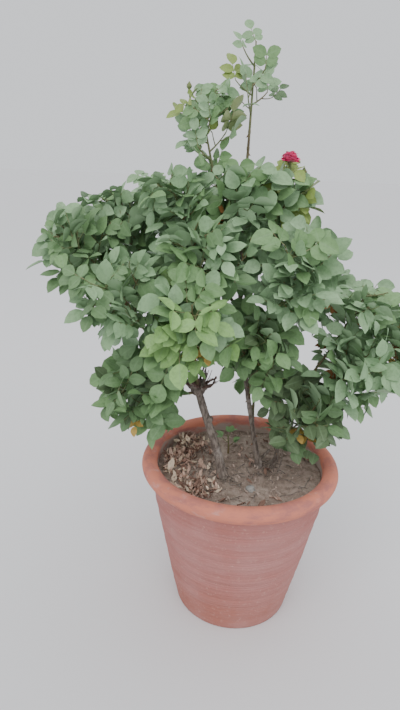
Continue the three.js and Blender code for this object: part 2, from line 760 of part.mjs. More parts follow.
function makeSucker() {
  const foot = new THREE.Vector3(SUCKER.foot[0], SUCKER.foot[1], SOIL_LEVEL + GAP);
  const stem = new THREE.LineCurve3(foot, vec(SUCKER.tip));
  const taper = (s) => SUCKER.r0 + (SUCKER.r1 - SUCKER.r0) * s;
  const pieces = [solidOf(taperedBar(stem, taper, 5, 1))];
  for (const { at, out } of SUCKER.shoots) {
    const base = stem.getPointAt(at);
    const line = new THREE.LineCurve3(base, base.clone().add(vec(out)));
    pieces.push(solidOf(taperedBar(line, (s) => 0.7 + 0.9 * s, 3, 1)));
  }
  return mainBody(joined(pieces));
}

const roseBush = new THREE.Group();
roseBush.name = "rose_bush";
roseBush.add(meshOf(makePot(), "pot", TERRACOTTA));
roseBush.add(meshOf(makeSoil(), "soil", EARTH));
roseBush.add(meshOf(makeSucker(), "sucker", YOUNG_LEAF));
growTrunks();
growBoughs();
for (const limb of Object.values(limbs)) {
  const isTrunk = limb.name in TRUNKS;
  const solid = isTrunk ? limb.solid(0) : boughSolid(limb);
  roseBush.add(meshOf(solid, limb.name, isTrunk ? BARK : CANE));
}
Object.keys(MASSES).forEach((name, index) => {
  const young = name === "spire" || name === "tall_tip";
  const solid = massSolid(growMass(name, index));
  roseBush.add(meshOf(solid, "leaves_" + name, young ? YOUNG_LEAF : LEAF));
});

export default roseBush;
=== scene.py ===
"""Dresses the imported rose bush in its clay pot: clay, soil, bark, twigs, leaves and bloom."""

from __future__ import annotations

import json
import logging
import math
from collections.abc import Callable, Sequence
from dataclasses import dataclass, field
from enum import Enum
from functools import cache
from typing import Any

import bmesh
import bpy
import numpy as np
from mathutils import Matrix, Vector, noise

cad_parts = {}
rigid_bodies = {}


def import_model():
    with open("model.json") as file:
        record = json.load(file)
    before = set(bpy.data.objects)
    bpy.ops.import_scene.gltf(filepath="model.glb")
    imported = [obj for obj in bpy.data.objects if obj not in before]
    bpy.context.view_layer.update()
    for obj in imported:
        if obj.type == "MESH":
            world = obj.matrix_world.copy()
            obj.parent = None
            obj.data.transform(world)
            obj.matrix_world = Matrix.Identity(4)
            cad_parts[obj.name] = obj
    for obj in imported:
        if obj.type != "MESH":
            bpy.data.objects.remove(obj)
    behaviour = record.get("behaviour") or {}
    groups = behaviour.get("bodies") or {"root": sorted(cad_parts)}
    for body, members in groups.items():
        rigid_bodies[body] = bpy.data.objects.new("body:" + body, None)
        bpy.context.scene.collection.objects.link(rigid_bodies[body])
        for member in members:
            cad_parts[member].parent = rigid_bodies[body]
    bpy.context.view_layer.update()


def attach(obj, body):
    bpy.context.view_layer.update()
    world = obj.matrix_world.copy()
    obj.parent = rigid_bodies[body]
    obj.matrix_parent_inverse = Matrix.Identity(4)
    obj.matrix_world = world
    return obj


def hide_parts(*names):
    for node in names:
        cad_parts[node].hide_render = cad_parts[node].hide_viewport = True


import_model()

MM = 0.001
UP = np.array([0.0, 0.0, 1.0])
GOLDEN_TURN = math.radians(137.5)
SOIL_LEVEL = 272.0
GAP = 0.3
LOG = logging.getLogger("rose_bush")

Triple = tuple[float, float, float]
Array = np.ndarray
Node = bpy.types.Node
Socket = bpy.types.NodeSocket
Tree = bpy.types.NodeTree
Material = bpy.types.Material
Object = bpy.types.Object


def unit(vectors: Array) -> Array:
    """Scales vectors along the last axis to length one."""
    return vectors / np.maximum(np.linalg.norm(vectors, axis=-1, keepdims=True), 1e-9)


def around(turn: float) -> Array:
    """The level direction at a turn round the Z axis."""
    return np.array([math.cos(turn), math.sin(turn), 0.0])


# Node trees


class Graph:
    """Adds nodes to a shader or geometry tree and links them."""

    def __init__(self, tree: Tree) -> None:
        """Keeps the tree that the nodes go into."""
        self.tree = tree

    def feed(self, node: Node, sockets: dict[str | int, Any]) -> None:
        """Gives a node's inputs their values.

        Args:
            node: The node.
            sockets: Input name or number to a plain value, a colour or an output socket.
        """
        for key, value in sockets.items():
            if isinstance(value, Socket):
                self.tree.links.new(value, node.inputs[key])
            elif node.inputs[key].type == "RGBA":
                node.inputs[key].default_value = (*value, 1.0)
            else:
                node.inputs[key].default_value = value

    def add(self, kind: str, sockets: dict[str | int, Any] | None = None, **settings: Any) -> Node:
        """Adds one node.

        Args:
            kind: Blender's name of the node type.
            sockets: What feed takes.
            **settings: The node's own properties.

        Returns:
            The new node.
        """
        node = self.tree.nodes.new(kind)
        for name, value in settings.items():
            setattr(node, name, value)
        self.feed(node, sockets or {})
        return node

    def math(self, operation: str, a: Any, b: Any = 0.0) -> Socket:
        """The result of a Math node on two values or sockets."""
        return self.add("ShaderNodeMath", {0: a, 1: b}, operation=operation).outputs[0]

    def plus(self, a: Any, b: Any) -> Socket:
        """The sum of two values or sockets."""
        return self.math("ADD", a, b)

    def times(self, a: Any, b: Any) -> Socket:
        """The product of two values or sockets."""
        return self.math("MULTIPLY", a, b)

    def blend(self, mask: Any, low: Any, high: Any) -> Socket:
        """Two colours mixed by a mask: the first at 0 and the second at 1."""
        return self.add("ShaderNodeMix", {"Factor": mask, 6: low, 7: high}, data_type="RGBA").outputs[2]

    def ramp(self, value: Any, start: Any, end: Any) -> Socket:
        """A value mapped from start..end to 0..1, smoothly and clamped."""
        sockets = {"Value": value, "From Min": start, "From Max": end}
        return self.add("ShaderNodeMapRange", sockets, interpolation_type="SMOOTHSTEP").outputs[0]

    def place(self) -> Socket:
        """Where on the object the shaded point is."""
        return self.add("ShaderNodeTexCoord").outputs["Object"]

    def stretched(self, place: Any, stretch: Any) -> Socket:
        """A place with its height multiplied: above 1 presses a pattern flat, below 1 draws it out."""
        scale = self.add("ShaderNodeCombineXYZ", {"X": 1.0, "Y": 1.0, "Z": stretch}).outputs[0]
        return self.add("ShaderNodeVectorMath", {0: place, 1: scale}, operation="MULTIPLY").outputs[0]

    def noise(self, place: Any, scale: Any, detail: float, rough: float = 0.5) -> Any:
        """The value of soft noise at a place."""
        sockets = {"Vector": place, "Scale": scale, "Detail": detail, "Roughness": rough}
        return self.add("ShaderNodeTexNoise", sockets).outputs[0]

    def cloud(
        self, low: Any, high: Any, scale: float, stretch: float = 1.0, balance: float = 0.5
    ) -> tuple[Socket, Socket]:
        """Adds the mottle group.

        Args:
            low: Colour or socket where the pattern is low.
            high: Colour or socket where it is high.
            scale: Patches per metre, roughly.
            stretch: How far they are pressed together along Z.
            balance: Level of the noise at which the colours meet.

        Returns:
            The sockets of its colour and of its mask.
        """
        sockets = {"Low": low, "High": high, "Scale": scale, "Stretch": stretch, "Balance": balance}
        colour, mask = self.add("ShaderNodeGroup", sockets, node_tree=Effects.mottle()).outputs
        return colour, mask


class TreeKind(Enum):
    """The kinds of node tree, as Blender calls them."""

    SHADER = "ShaderNodeTree"
    GEOMETRY = "GeometryNodeTree"


def new_tree(
    name: str, kind: TreeKind, inputs: dict[str, str], outputs: dict[str, str]
) -> tuple[Graph, Any, Node]:
    """Makes a node group with named sockets.

    Args:
        name: The group's name.
        kind: Its kind.
        inputs: Socket names and types.
        outputs: Socket names and types.

    Returns:
        Its graph, the sockets of its inputs, and its output node.
    """
    tree = bpy.data.node_groups.new(name, kind.value)
    for way, sockets in (("INPUT", inputs), ("OUTPUT", outputs)):
        for label, socket in sockets.items():
            tree.interface.new_socket(name=label, in_out=way, socket_type="NodeSocket" + socket)
    graph = Graph(tree)
    return graph, graph.add("NodeGroupInput").outputs, graph.add("NodeGroupOutput")


class Effects:
    """The shader node groups that several finishes share, each built once."""

    @staticmethod
    @cache
    def mottle() -> Tree:
        """Two colours in soft cloudy patches, pressed together along Z by Stretch.

        Returns:
            The group.
        """
        patches = dict.fromkeys(("Scale", "Stretch", "Balance"), "Float")
        inputs = {"Low": "Color", "High": "Color", **patches}
        graph, given, out = new_tree("mottle", TreeKind.SHADER, inputs, {"Colour": "Color", "Mask": "Float"})
        cloud = graph.noise(graph.stretched(graph.place(), given["Stretch"]), given["Scale"], 5.0, 0.62)
        low, high = graph.plus(given["Balance"], -0.12), graph.plus(given["Balance"], 0.12)
        mask = graph.ramp(cloud, low, high)
        graph.feed(out, {"Colour": graph.blend(mask, given["Low"], given["High"]), "Mask": mask})
        return graph.tree

    @staticmethod
    @cache
    def grain() -> Tree:
        """Fine height for a Bump node: coarse lumps and fine grit added together.

        Returns:
            The group.
        """
        inputs = dict.fromkeys(("Scale", "Stretch", "Grit"), "Float")
        graph, given, out = new_tree("grain", TreeKind.SHADER, inputs, {"Height": "Float"})
        place = graph.place()
        lumps = graph.noise(graph.stretched(place, given["Stretch"]), given["Scale"], 3.0)
        grit = graph.noise(place, graph.times(given["Scale"], 4.3), 2.0)
        graph.feed(out, {"Height": graph.plus(lumps, graph.times(grit, given["Grit"]))})
        return graph.tree


# Finishes


@dataclass(frozen=True)
class Finish:
    """What every finish has: a name, its roughness and shine, and its grain."""

    name: str
    roughness: float = 0.8
    grain_scale: float = 200.0
    grain_stretch: float = 1.0
    grain_grit: float = 0.4
    bump: float = 0.3
    depth: float = 0.001
    specular: float = 0.5

    def colour(self, graph: Graph) -> Socket:
        """The finish's own colour, which each kind of finish works out."""
        raise NotImplementedError

    def material(self) -> Material:
        """Builds the material: a Principled shader with the finish's colour and its grain as bump.

        Returns:
            The material.
        """
        made = bpy.data.materials.new(self.name)
        made.use_nodes = True
        graph = Graph(made.node_tree)
        sockets = {"Scale": self.grain_scale, "Stretch": self.grain_stretch, "Grit": self.grain_grit}
        grain = graph.add("ShaderNodeGroup", sockets, node_tree=Effects.grain()).outputs[0]
        sockets = {"Strength": self.bump, "Distance": self.depth, "Height": grain}
        sockets = {"Normal": graph.add("ShaderNodeBump", sockets).outputs[0]}
        sockets |= {"Roughness": self.roughness, "Specular IOR Level": self.specular}
        sockets["Base Color"] = self.colour(graph)
        graph.feed(made.node_tree.nodes["Principled BSDF"], sockets)
        return made


@dataclass(frozen=True)
class MottledFinish(Finish):
    """A dull surface of two colours in patches, with a third in larger ones."""

    low: Triple = (0.1, 0.1, 0.1)
    high: Triple = (0.2, 0.2, 0.2)
    patch: Triple = (0.3, 0.3, 0.3)
    patch_balance: float = 0.62
    scale: float = 60.0
    stretch: float = 1.0

    def colour(self, graph: Graph) -> Socket:
        """The fine patches, and the broad ones over them."""
        fine, _ = graph.cloud(self.low, self.high, self.scale, self.stretch)
        return graph.cloud(fine, self.patch, self.scale * 0.23, balance=self.patch_balance)[0]


@dataclass(frozen=True)
class ClayFinish(Finish):
    """Unglazed clay: bright lip, redder foot, pale salts, throwing lines with painted shade in their grooves
    and a grimy inside.
    """

    body: Triple = (0.415, 0.152, 0.13)
    foot: Triple = (0.4, 0.145, 0.11)
    lip: Triple = (0.6, 0.205, 0.135)
    salts: Triple = (0.55, 0.32, 0.31)
    stain_and_groove_shade: Triple = (0.34, 0.13, 0.105)
    dust: Triple = (0.52, 0.27, 0.23)
    grime: Triple = (0.37, 0.29, 0.25)
    lip_height: float = 0.27
    ring_pitch: float = 0.019
    core_radius: float = 0.1025
    flare: float = 0.195

    def colour(self, graph: Graph) -> Socket:
        """The clay by height, then its stain lines, painted shade in the ring grooves, salts, dust, rubbed
        lip and inside.

        Args:
            graph: The material's graph.

        Returns:
            The colour's socket.
        """
        place = graph.place()
        x, y, height = graph.add("ShaderNodeSeparateXYZ", {0: place}).outputs
        sway = graph.times(graph.plus(graph.noise(place, 14.0, 3.0), -0.5), 0.05)
        level = graph.plus(height, sway)
        colour = graph.blend(graph.ramp(level, 0.02, 0.13), self.foot, self.body)
        _, lines = graph.cloud(colour, self.stain_and_groove_shade, 4.6, 95.0, 0.6)
        colour = graph.blend(graph.times(lines, 0.75), colour, self.stain_and_groove_shade)
        # Painted shade: a thin band of the darker stain colour at each groove of the thrown rings, in phase
        # with the pot's grooves.
        wave = graph.math("SINE", graph.times(height, math.tau / self.ring_pitch))
        rings = graph.times(graph.ramp(wave, 0.88, 1.0), 0.5)
        colour = graph.blend(rings, colour, self.stain_and_groove_shade)
        _, salts = graph.cloud(colour, self.salts, 9.0, 0.5)
        _, band = graph.cloud(colour, self.salts, 5.0, 6.0, 0.52)
        colour = graph.blend(graph.times(graph.plus(salts, band), 0.17), colour, self.salts)
        dusty, _ = graph.cloud(colour, self.dust, 150.0, balance=0.66)
        rubbed, _ = graph.cloud(self.lip, self.body, 22.0, 3.0, 0.56)
        lip, _ = graph.cloud(rubbed, self.salts, 34.0, 2.0, 0.68)
        on_lip = graph.ramp(height, self.lip_height - 0.003, self.lip_height + 0.003)
        colour = graph.blend(on_lip, dusty, lip)
        away = graph.math("SQRT", graph.plus(graph.times(x, x), graph.times(y, y)))
        middle = graph.plus(graph.times(height, self.flare), self.core_radius)
        depth = graph.plus(graph.math("SUBTRACT", away, middle), graph.times(sway, 0.04))
        inside = graph.times(graph.ramp(depth, 0.0012, -0.0012), graph.ramp(level, 0.291, 0.283))
        inner, _ = graph.cloud(self.grime, self.body, 30.0, 2.0, 0.58)
        return graph.blend(inside, colour, inner)


@dataclass(frozen=True)
class LeafFinish(Finish):
    """A leaf: its upper face with faint mottling and a paler midrib, and a paler underside."""

    upper: Triple = (0.15, 0.25, 0.13)
    under: Triple = (0.26, 0.39, 0.225)
    specular: float = 0.3

    def colour(self, graph: Graph) -> Socket:
        """The mottled upper face with its midrib, and the underside where the back is seen.

        Args:
            graph: The material's graph.

        Returns:
            The colour's socket.
        """
        top, _ = graph.cloud(self.upper, tuple(0.82 * c for c in self.upper), 190.0, balance=0.55)
        rib = graph.add("ShaderNodeAttribute", attribute_name="midrib").outputs["Fac"]
        ribbed = graph.blend(graph.times(graph.ramp(rib, 0.72, 0.95), 0.26), top, self.under)
        back = graph.add("ShaderNodeNewGeometry").outputs["Backfacing"]
        return graph.blend(back, ribbed, self.under)


# Meshes


def link(data: bpy.types.ID, name: str) -> Object:
    """Puts a mesh, lamp or camera into the scene as an object at the origin.

    Args:
        data: What the object shows.
        name: The object's name.

    Returns:
        The object.
    """
    made = bpy.data.objects.new(name, data)
    bpy.context.scene.collection.objects.link(made)
    return made


def smooth_faces(mesh: bpy.types.Mesh) -> None:
    """Shades all the faces of a mesh smooth."""
    mesh.polygons.foreach_set("use_smooth", np.ones(len(mesh.polygons), bool))


def mesh_piece(
    name: str,
    points: Any,
    faces: Sequence[Sequence[int]] = (),
    edges: Sequence[Sequence[int]] = (),
) -> Object:
    """Makes a smooth mesh object from points in millimetres.

    Args:
        name: The object's name.
        points: Vertices.
        faces: Vertex numbers of each face.
        edges: Vertex numbers of each loose edge.

    Returns:
        The object.
    """
    mesh = bpy.data.meshes.new(name)
    mesh.from_pydata((np.asarray(points, float) * MM).tolist(), edges, faces)
    mesh.update()
    smooth_faces(mesh)
    return link(mesh, name)


def from_bmesh(bm: bmesh.types.BMesh, name: str) -> Object:
    """Turns a finished bmesh into an object.

    Args:
        bm: The bmesh, in metres; it is freed.
        name: The object's name.

    Returns:
        The object.
    """
    mesh = bpy.data.meshes.new(name)
    bm.to_mesh(mesh)
    bm.free()
    return link(mesh, name)


def evaluated(source: Object, name: str) -> Object:
    """Keeps what an object's modifiers make of it as a plain mesh.

    Args:
        source: The object; it is removed with its modifiers.
        name: Name of the new object.

    Returns:
        The new object, at the origin.
    """
    bpy.context.view_layer.update()
    depsgraph = bpy.context.evaluated_depsgraph_get()
    mesh = bpy.data.meshes.new_from_object(source.evaluated_get(depsgraph), depsgraph=depsgraph)
    mesh.name = name
    source.modifiers.clear()
    bpy.data.objects.remove(source)
    return link(mesh, name)


def grid_faces(rows: int, columns: int) -> list[tuple[int, ...]]:
    """The faces between points that lie in rows, one row after another."""
    corners = [columns * i + j for i in range(rows - 1) for j in range(columns - 1)]
    return [(a, a + columns, a + columns + 1, a + 1) for a in corners]


def ring_faces(rings: int, sides: int) -> list[tuple[int, ...]]:
    """The faces between rings of points, closed by a point at each end, which come last.

    Args:
        rings: How many rings.
        sides: Points in each.

    Returns:
        Vertex numbers of each face.
    """
    faces: list[tuple[int, ...]] = []
    foot, last = rings * sides, (rings - 1) * sides
    for j in range(sides):
        k = (j + 1) % sides
        faces += [(a + j, a + k, a + sides + k, a + sides + j) for a in range(0, last, sides)]
        faces += [(foot, k, j), (foot + 1, last + j, last + k)]
    return faces


def give(mesh: bpy.types.Mesh, name: str, kind: str, values: Any) -> None:
    """Stores a value for each vertex.

    Args:
        mesh: The mesh.
        name: The attribute's name.
        kind: FLOAT, INT or FLOAT_VECTOR.
        values: One value or vector a vertex.
    """
    layer = mesh.attributes.new(name, kind, "POINT")
    key = "vector" if kind == "FLOAT_VECTOR" else "value"
    flat = np.asarray(values, np.int32 if kind == "INT" else np.float32).ravel()
    layer.data.foreach_set(key, flat)


def dress(piece: Object, nodes: Sequence[str] = (), material: Material | None = None) -> None:
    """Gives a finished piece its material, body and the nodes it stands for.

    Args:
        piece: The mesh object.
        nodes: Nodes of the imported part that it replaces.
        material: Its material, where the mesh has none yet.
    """
    if material is not None:
        piece.data.materials.clear()
        piece.data.materials.append(material)
    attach(piece, "root")
    if nodes:
        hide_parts(*nodes)
    piece.data.calc_loop_triangles()
    LOG.info("%s: %d triangles", piece.name, len(piece.data.loop_triangles))


def plain_copy(name: str, source: Object, tree: Tree, **inputs: Any) -> Object:
    """Runs a geometry tree on an object and keeps the result as a plain mesh.

    Args:
        name: Name of the new piece.
        source: The object that the tree reads; it is removed.
        tree: The geometry tree.
        **inputs: The tree's inputs, by name.

    Returns:
        The new piece, at the origin.
    """
    modifier = source.modifiers.new("growth", "NODES")
    modifier.node_group = tree
    for item in tree.interface.items_tree:
        if item.name in inputs:
            modifier[item.identifier] = inputs[item.name]
    made = evaluated(source, name)
    for layer in {"turn", "size", "shape", "thick"} & set(made.data.attributes.keys()):
        made.data.attributes.remove(made.data.attributes[layer])
    return made


class Grower(Graph):
    """A geometry tree that takes a geometry and a material, and gives a plain geometry."""

    def __init__(self, name: str, **inputs: str) -> None:
        """Starts the tree.

        Args:
            name: Its name.
            **inputs: Its own inputs' names and types.
        """
        sockets = {"Geometry": "Geometry", **inputs, "Material": "Material"}
        graph, self.given, self.out = new_tree(name, TreeKind.GEOMETRY, sockets, {"Geometry": "Geometry"})
        super().__init__(graph.tree)

    def read(self, name: str, kind: str) -> Socket:
        """The socket of a named attribute of a kind."""
        node = self.add("GeometryNodeInputNamedAttribute", {"Name": name}, data_type=kind)
        return node.outputs["Attribute"]

    def pieces_on(self, points: Any, **sockets: Any) -> Socket:
        """Puts one of the collection's pieces on each point.

        Args:
            points: The points' socket.
            **sockets: The other inputs of Instance on Points.

        Returns:
            The instances' socket.
        """
        split = {"Collection": self.given["Pieces"], "Separate Children": True, "Reset Children": True}
        info = self.add("GeometryNodeCollectionInfo", split).outputs[0]
        sockets |= {"Points": points, "Instance": info, "Pick Instance": True}
        return self.add("GeometryNodeInstanceOnPoints", sockets).outputs[0]

    def close(self, geometry: Any) -> Tree:
        """Ends the tree in Realize Instances and Set Material.

        Args:
            geometry: The socket to end from.

        Returns:
            The tree.
        """
        real = self.add("GeometryNodeRealizeInstances", {0: geometry}).outputs[0]
        sockets = {"Geometry": real, "Material": self.given["Material"]}
        self.feed(self.out, {0: self.add("GeometryNodeSetMaterial", sockets).outputs[0]})
        return self.tree


@cache
def scatter() -> Tree:
    """The tree that puts a piece on each point, by the point's turn, size and shape.

    Returns:
        The tree.
    """
    graph = Grower("scatter", Pieces="Collection")
    sockets = {"Instance Index": graph.read("shape", "INT"), "Scale": graph.read("size", "FLOAT")}
    sockets["Rotation"] = graph.read("turn", "FLOAT_VECTOR")
    return graph.close(graph.pieces_on(graph.given["Geometry"], **sockets))


@cache
def tube() -> Tree:
    """The tree that runs a round tube along each line of edges, as thick as its points say.

    Returns:
        The tree.
    """
    graph = Grower("tube", Sides="Int")
    lines = graph.add("GeometryNodeMeshToCurve", {0: graph.given["Geometry"]}).outputs[0]
    sockets = {"Resolution": graph.given["Sides"], "Radius": 1.0}
    ring = graph.add("GeometryNodeCurvePrimitiveCircle", sockets).outputs[0]
    thick = graph.times(graph.read("thick", "FLOAT"), MM)
    sockets = {"Curve": lines, "Profile Curve": ring, "Scale": thick, "Fill Caps": True}
    walls = graph.add("GeometryNodeCurveToMesh", sockets).outputs[0]
    return graph.close(graph.add("GeometryNodeSetShadeSmooth", {0: walls}).outputs[0])


@cache
def strew() -> Tree:
    """The tree that strews crumbs at random over a surface, most of them small.

    Returns:
        The tree.
    """
    sizes = dict.fromkeys(("Density", "Smallest", "Largest"), "Float")
    graph = Grower("strew", Pieces="Collection", **sizes, Seed="Int")
    given, seed = graph.given, graph.given["Seed"]
    sockets = {"Mesh": given["Geometry"], "Density": given["Density"], "Seed": seed}
    points = graph.add("GeometryNodeDistributePointsOnFaces", sockets).outputs["Points"]
    sockets = {"Max": (math.tau,) * 3, "Seed": seed}
    turn = graph.add("FunctionNodeRandomValue", sockets, data_type="FLOAT_VECTOR").outputs[0]
    sockets = {"Seed": graph.plus(seed, 7.0)}
    share = graph.add("FunctionNodeRandomValue", sockets, data_type="FLOAT").outputs[1]
    span = graph.math("SUBTRACT", given["Largest"], given["Smallest"])
    size = graph.plus(given["Smallest"], graph.times(graph.math("POWER", share, 2.2), span))
    return graph.close(graph.pieces_on(points, Rotation=turn, Scale=size))


def collection_of(name: str, pieces: Sequence[Object]) -> bpy.types.Collection:
    """Gathers set pieces in a collection that isn't part of the scene.

    Args:
        name: The collection's name.
        pieces: The objects, which leave the scene.

    Returns:
        The collection.
    """
    made = bpy.data.collections.new(name)
    for piece in pieces:
        bpy.context.scene.collection.objects.unlink(piece)
        made.objects.link(piece)
    return made


@dataclass
class Placings:
    """Points that the scatter tree puts its pieces on: place, turn, size and shape."""

    rows: list[tuple[Array, Triple, float, int]] = field(default_factory=list)

    def put(self, place: Array, along: Array, face: Array, size: float, shape: int = 0) -> None:
        """Adds a point.

        Args:
            place: Where, in millimetres.
            along: The way that the piece's X points.
            face: The way that its Z leans.
            size: Its length, in millimetres.
            shape: Which piece of the collection.
        """
        x = unit(along)
        y = unit(np.cross(face, x))
        turn = Matrix(np.stack([x, y, np.cross(x, y)], axis=1)).to_euler("XYZ")
        self.rows.append((place, tuple(turn), size * MM, shape))

    def grow(self, name: str, pieces: bpy.types.Collection, material: Material) -> Object:
        """Turns the points into one plain mesh.

        Args:
            name: Name of the piece.
            pieces: The collection to scatter.
            material: The pieces' material.

        Returns:
            The piece.
        """
        places, turns, sizes, shapes = zip(*self.rows)
        cloud = mesh_piece(name + "_points", places)
        give(cloud.data, "turn", "FLOAT_VECTOR", turns)
        give(cloud.data, "size", "FLOAT", sizes)
        give(cloud.data, "shape", "INT", shapes)
        return plain_copy(name, cloud, scatter(), Pieces=pieces, Material=material)


@dataclass
class Lines:
    """Lines with a thickness at each point, for the tube tree."""

    points: list[Array] = field(default_factory=list)
    thick: list[float] = field(default_factory=list)
    edges: list[tuple[int, int]] = field(default_factory=list)

    def put(self, points: Sequence[Any], thickness: Sequence[float]) -> None:
        """Adds a line.

        Args:
            points: Its points, in millimetres.
            thickness: Its radius at each.
        """
        start = len(self.points)
        self.points.extend(points)
        self.thick.extend(thickness)
        self.edges.extend((start + i, start + i + 1) for i in range(len(points) - 1))

    def grow(self, name: str, sides: int, material: Material) -> Object:
        """Turns the lines into one plain mesh.

        Args:
            name: Name of the piece.
            sides: Sides of each tube.
            material: Its material.

        Returns:
            The piece.
        """
        wires = mesh_piece(name + "_lines", self.points, edges=self.edges)
        give(wires.data, "thick", "FLOAT", self.thick)
        return plain_copy(name, wires, tube(), Sides=sides, Material=material)


# Growth


class Dice:
    """A seeded source of numbers from 0 to 1, the same on every run."""

    def __init__(self, seed: int) -> None:
        """Starts at a seed."""
        self.state = seed & 0xFFFFFFFF

    def next(self) -> float:
        """Gives the next number."""
        self.state = (self.state * 1664525 + 1013904223) & 0xFFFFFFFF
        return self.state / 4294967296

    def spread(self, size: float) -> float:
        """Gives a number from -size to size."""
        return (2 * self.next() - 1) * size

    def pick(self, options: Sequence[Any]) -> Any:
        """Gives one of several things."""
        return options[int(self.next() * len(options))]


class Curve:
    """A cubic curve that is read by its length."""

    def __init__(self, *pulls: Any) -> None:
        """Samples the curve.

        Args:
            *pulls: Its start, first pull, second pull and end.
        """
        self.pulls = np.array(pulls, float)
        self.shares = np.linspace(0, 1, 201)
        points = self.at(self.shares)
        steps = np.linalg.norm(np.diff(points, axis=0), axis=1)
        self.lengths = np.concatenate([[0], np.cumsum(steps)])
        self.length = float(self.lengths[-1])

    def at(self, t: Any) -> Array:
        """Points at the curve's own parameter.

        Args:
            t: One parameter or several, from 0 to 1.

        Returns:
            A row for each.
        """
        t = np.atleast_1d(t)[:, None]
        a, b, c, d = self.pulls
        s = 1 - t
        return s**3 * a + 3 * s * s * t * b + 3 * s * t * t * c + t**3 * d

    def place(self, share: float) -> Array:
        """The point at a share of the length."""
        return self.at(np.interp(share * self.length, self.lengths, self.shares))[0]

    def way(self, share: float) -> Array:
        """The direction at a share of the length.

        Args:
            share: Share of the length, 0 to 1.

        Returns:
            The direction, one unit long.
        """
        t = float(np.interp(share * self.length, self.lengths, self.shares))
        lo, hi = max(t - 1e-3, 0), min(t + 1e-3, 1)
        return unit(self.at(hi)[0] - self.at(lo)[0])

    def spaced(self, count: int) -> Array:
        """Points at even lengths, count steps apart."""
        return np.array([self.place(i / count) for i in range(count + 1)])


def line_distance(p: Array, q: Array, a: Array, b: Array) -> Array:
    """Shortest distances between lines, which broadcast.

    Args:
        p: Starts of the first lines.
        q: Their ends.
        a: Starts of the others.
        b: Their ends.

    Returns:
        The distances.
    """
    u, v, w = q - p, b - a, p - a
    uu, vv = (u * u).sum(-1), (v * v).sum(-1)
    uv, uw, vw = (u * v).sum(-1), (u * w).sum(-1), (v * w).sum(-1)
    size = uu * vv - uv * uv
    s = np.where(size > 1e-9, (uv * vw - vv * uw) / np.maximum(size, 1e-9), 0).clip(0, 1)
    t = ((uv * s + vw) / np.maximum(vv, 1e-9)).clip(0, 1)
    s = ((uv * t - uw) / np.maximum(uu, 1e-9)).clip(0, 1)
    return np.linalg.norm(w + u * s[..., None] - v * t[..., None], axis=-1)


def crosses(p: Array, q: Array, *corners: Array) -> Array:
    """Whether lines go through triangles, which broadcast.

    Args:
        p: The lines' starts.
        q: Their ends.
        *corners: The triangles' first, second and third corners.

    Returns:
        True where they do.
    """
    a, b, c = corners
    way, ab, ac = q - p, b - a, c - a
    h = np.cross(way, ac)
    size = (ab * h).sum(-1)
    size = np.where(np.abs(size) < 1e-9, 1e-9, size)
    from_a = p - a
    u = (from_a * h).sum(-1) / size
    g = np.cross(from_a, ab)
    v = (way * g).sum(-1) / size
    t = (ac * g).sum(-1) / size
    return (u >= 0) & (v >= 0) & (u + v <= 1) & (t >= 0) & (t <= 1)


def kites_cross(one: Array, other: Array) -> Array:
    """Whether pairs of kite outlines cut each other.

    Args:
        one: Outlines, as pairs, four corners, three.
        other: The outlines to test each with.

    Returns:
        True for the pairs that do.
    """
    hit = np.zeros(len(one), bool)
    for edged, flat in ((one, other), (other, one)):
        p = edged[:, :, None, :]
        q = np.roll(edged, -1, axis=1)[:, :, None, :]
        a = flat[:, [0, 0], :][:, None]
        b = flat[:, [1, 2], :][:, None]
        c = flat[:, [2, 3], :][:, None]
        hit |= crosses(p, q, a, b, c).any(axis=(1, 2))
    return hit


class Tint(Enum):
    """The leaf colours, each with its finish; the shaded one is a darker copy of the green that paints
    shade.
    """

    MATURE = LeafFinish("leaf_mature", 0.5, upper=(0.195, 0.34, 0.145))
    GREYED = LeafFinish("leaf_greyed", 0.52, upper=(0.25, 0.405, 0.215))
    DEEP = LeafFinish("leaf_deep", 0.48, upper=(0.16, 0.275, 0.125))
    SHADED = LeafFinish("leaf_shaded", 0.5, upper=(0.12, 0.18, 0.09))
    BRIGHT = LeafFinish("leaf_bright", 0.48, upper=(0.25, 0.435, 0.15))
    YOUNG = LeafFinish("leaf_young", 0.45, upper=(0.26, 0.36, 0.09), under=(0.3, 0.36, 0.17))
    PALE = LeafFinish("leaf_pale", 0.5, upper=(0.29, 0.45, 0.255))
    YELLOWED = LeafFinish("leaf_yellowed", 0.6, upper=(0.47, 0.31, 0.08), under=(0.42, 0.33, 0.13))
    RUSTY = LeafFinish("leaf_rusty", 0.65, upper=(0.3, 0.13, 0.045), under=(0.3, 0.17, 0.08))


class Palette(Enum):
    """Which tints a mass of leaves is dealt, the commonest named most often; the dim and low palettes are
    painted shade, darker tints for masses in shade.
    """

    SUNLIT = (Tint.MATURE, Tint.GREYED, Tint.GREYED, Tint.PALE, Tint.DEEP)
    SOFT = (Tint.GREYED, Tint.PALE, Tint.GREYED, Tint.PALE, Tint.MATURE)
    FRESH = (Tint.BRIGHT, Tint.GREYED, Tint.BRIGHT, Tint.PALE, Tint.MATURE)
    # Painted shade: darker tints for masses low in the bush.
    DIM = (Tint.DEEP, Tint.MATURE, Tint.DEEP, Tint.SHADED, Tint.MATURE)
    # Painted shade: the darkest tints, for the low mass in front of the pot.
    LOW = (Tint.SHADED, Tint.DEEP, Tint.SHADED, Tint.SHADED, Tint.DEEP)
    TIP = (Tint.GREYED, Tint.PALE, Tint.MATURE, Tint.GREYED, Tint.YOUNG)
    TALL = (Tint.GREYED, Tint.MATURE, Tint.PALE, Tint.GREYED, Tint.YOUNG)


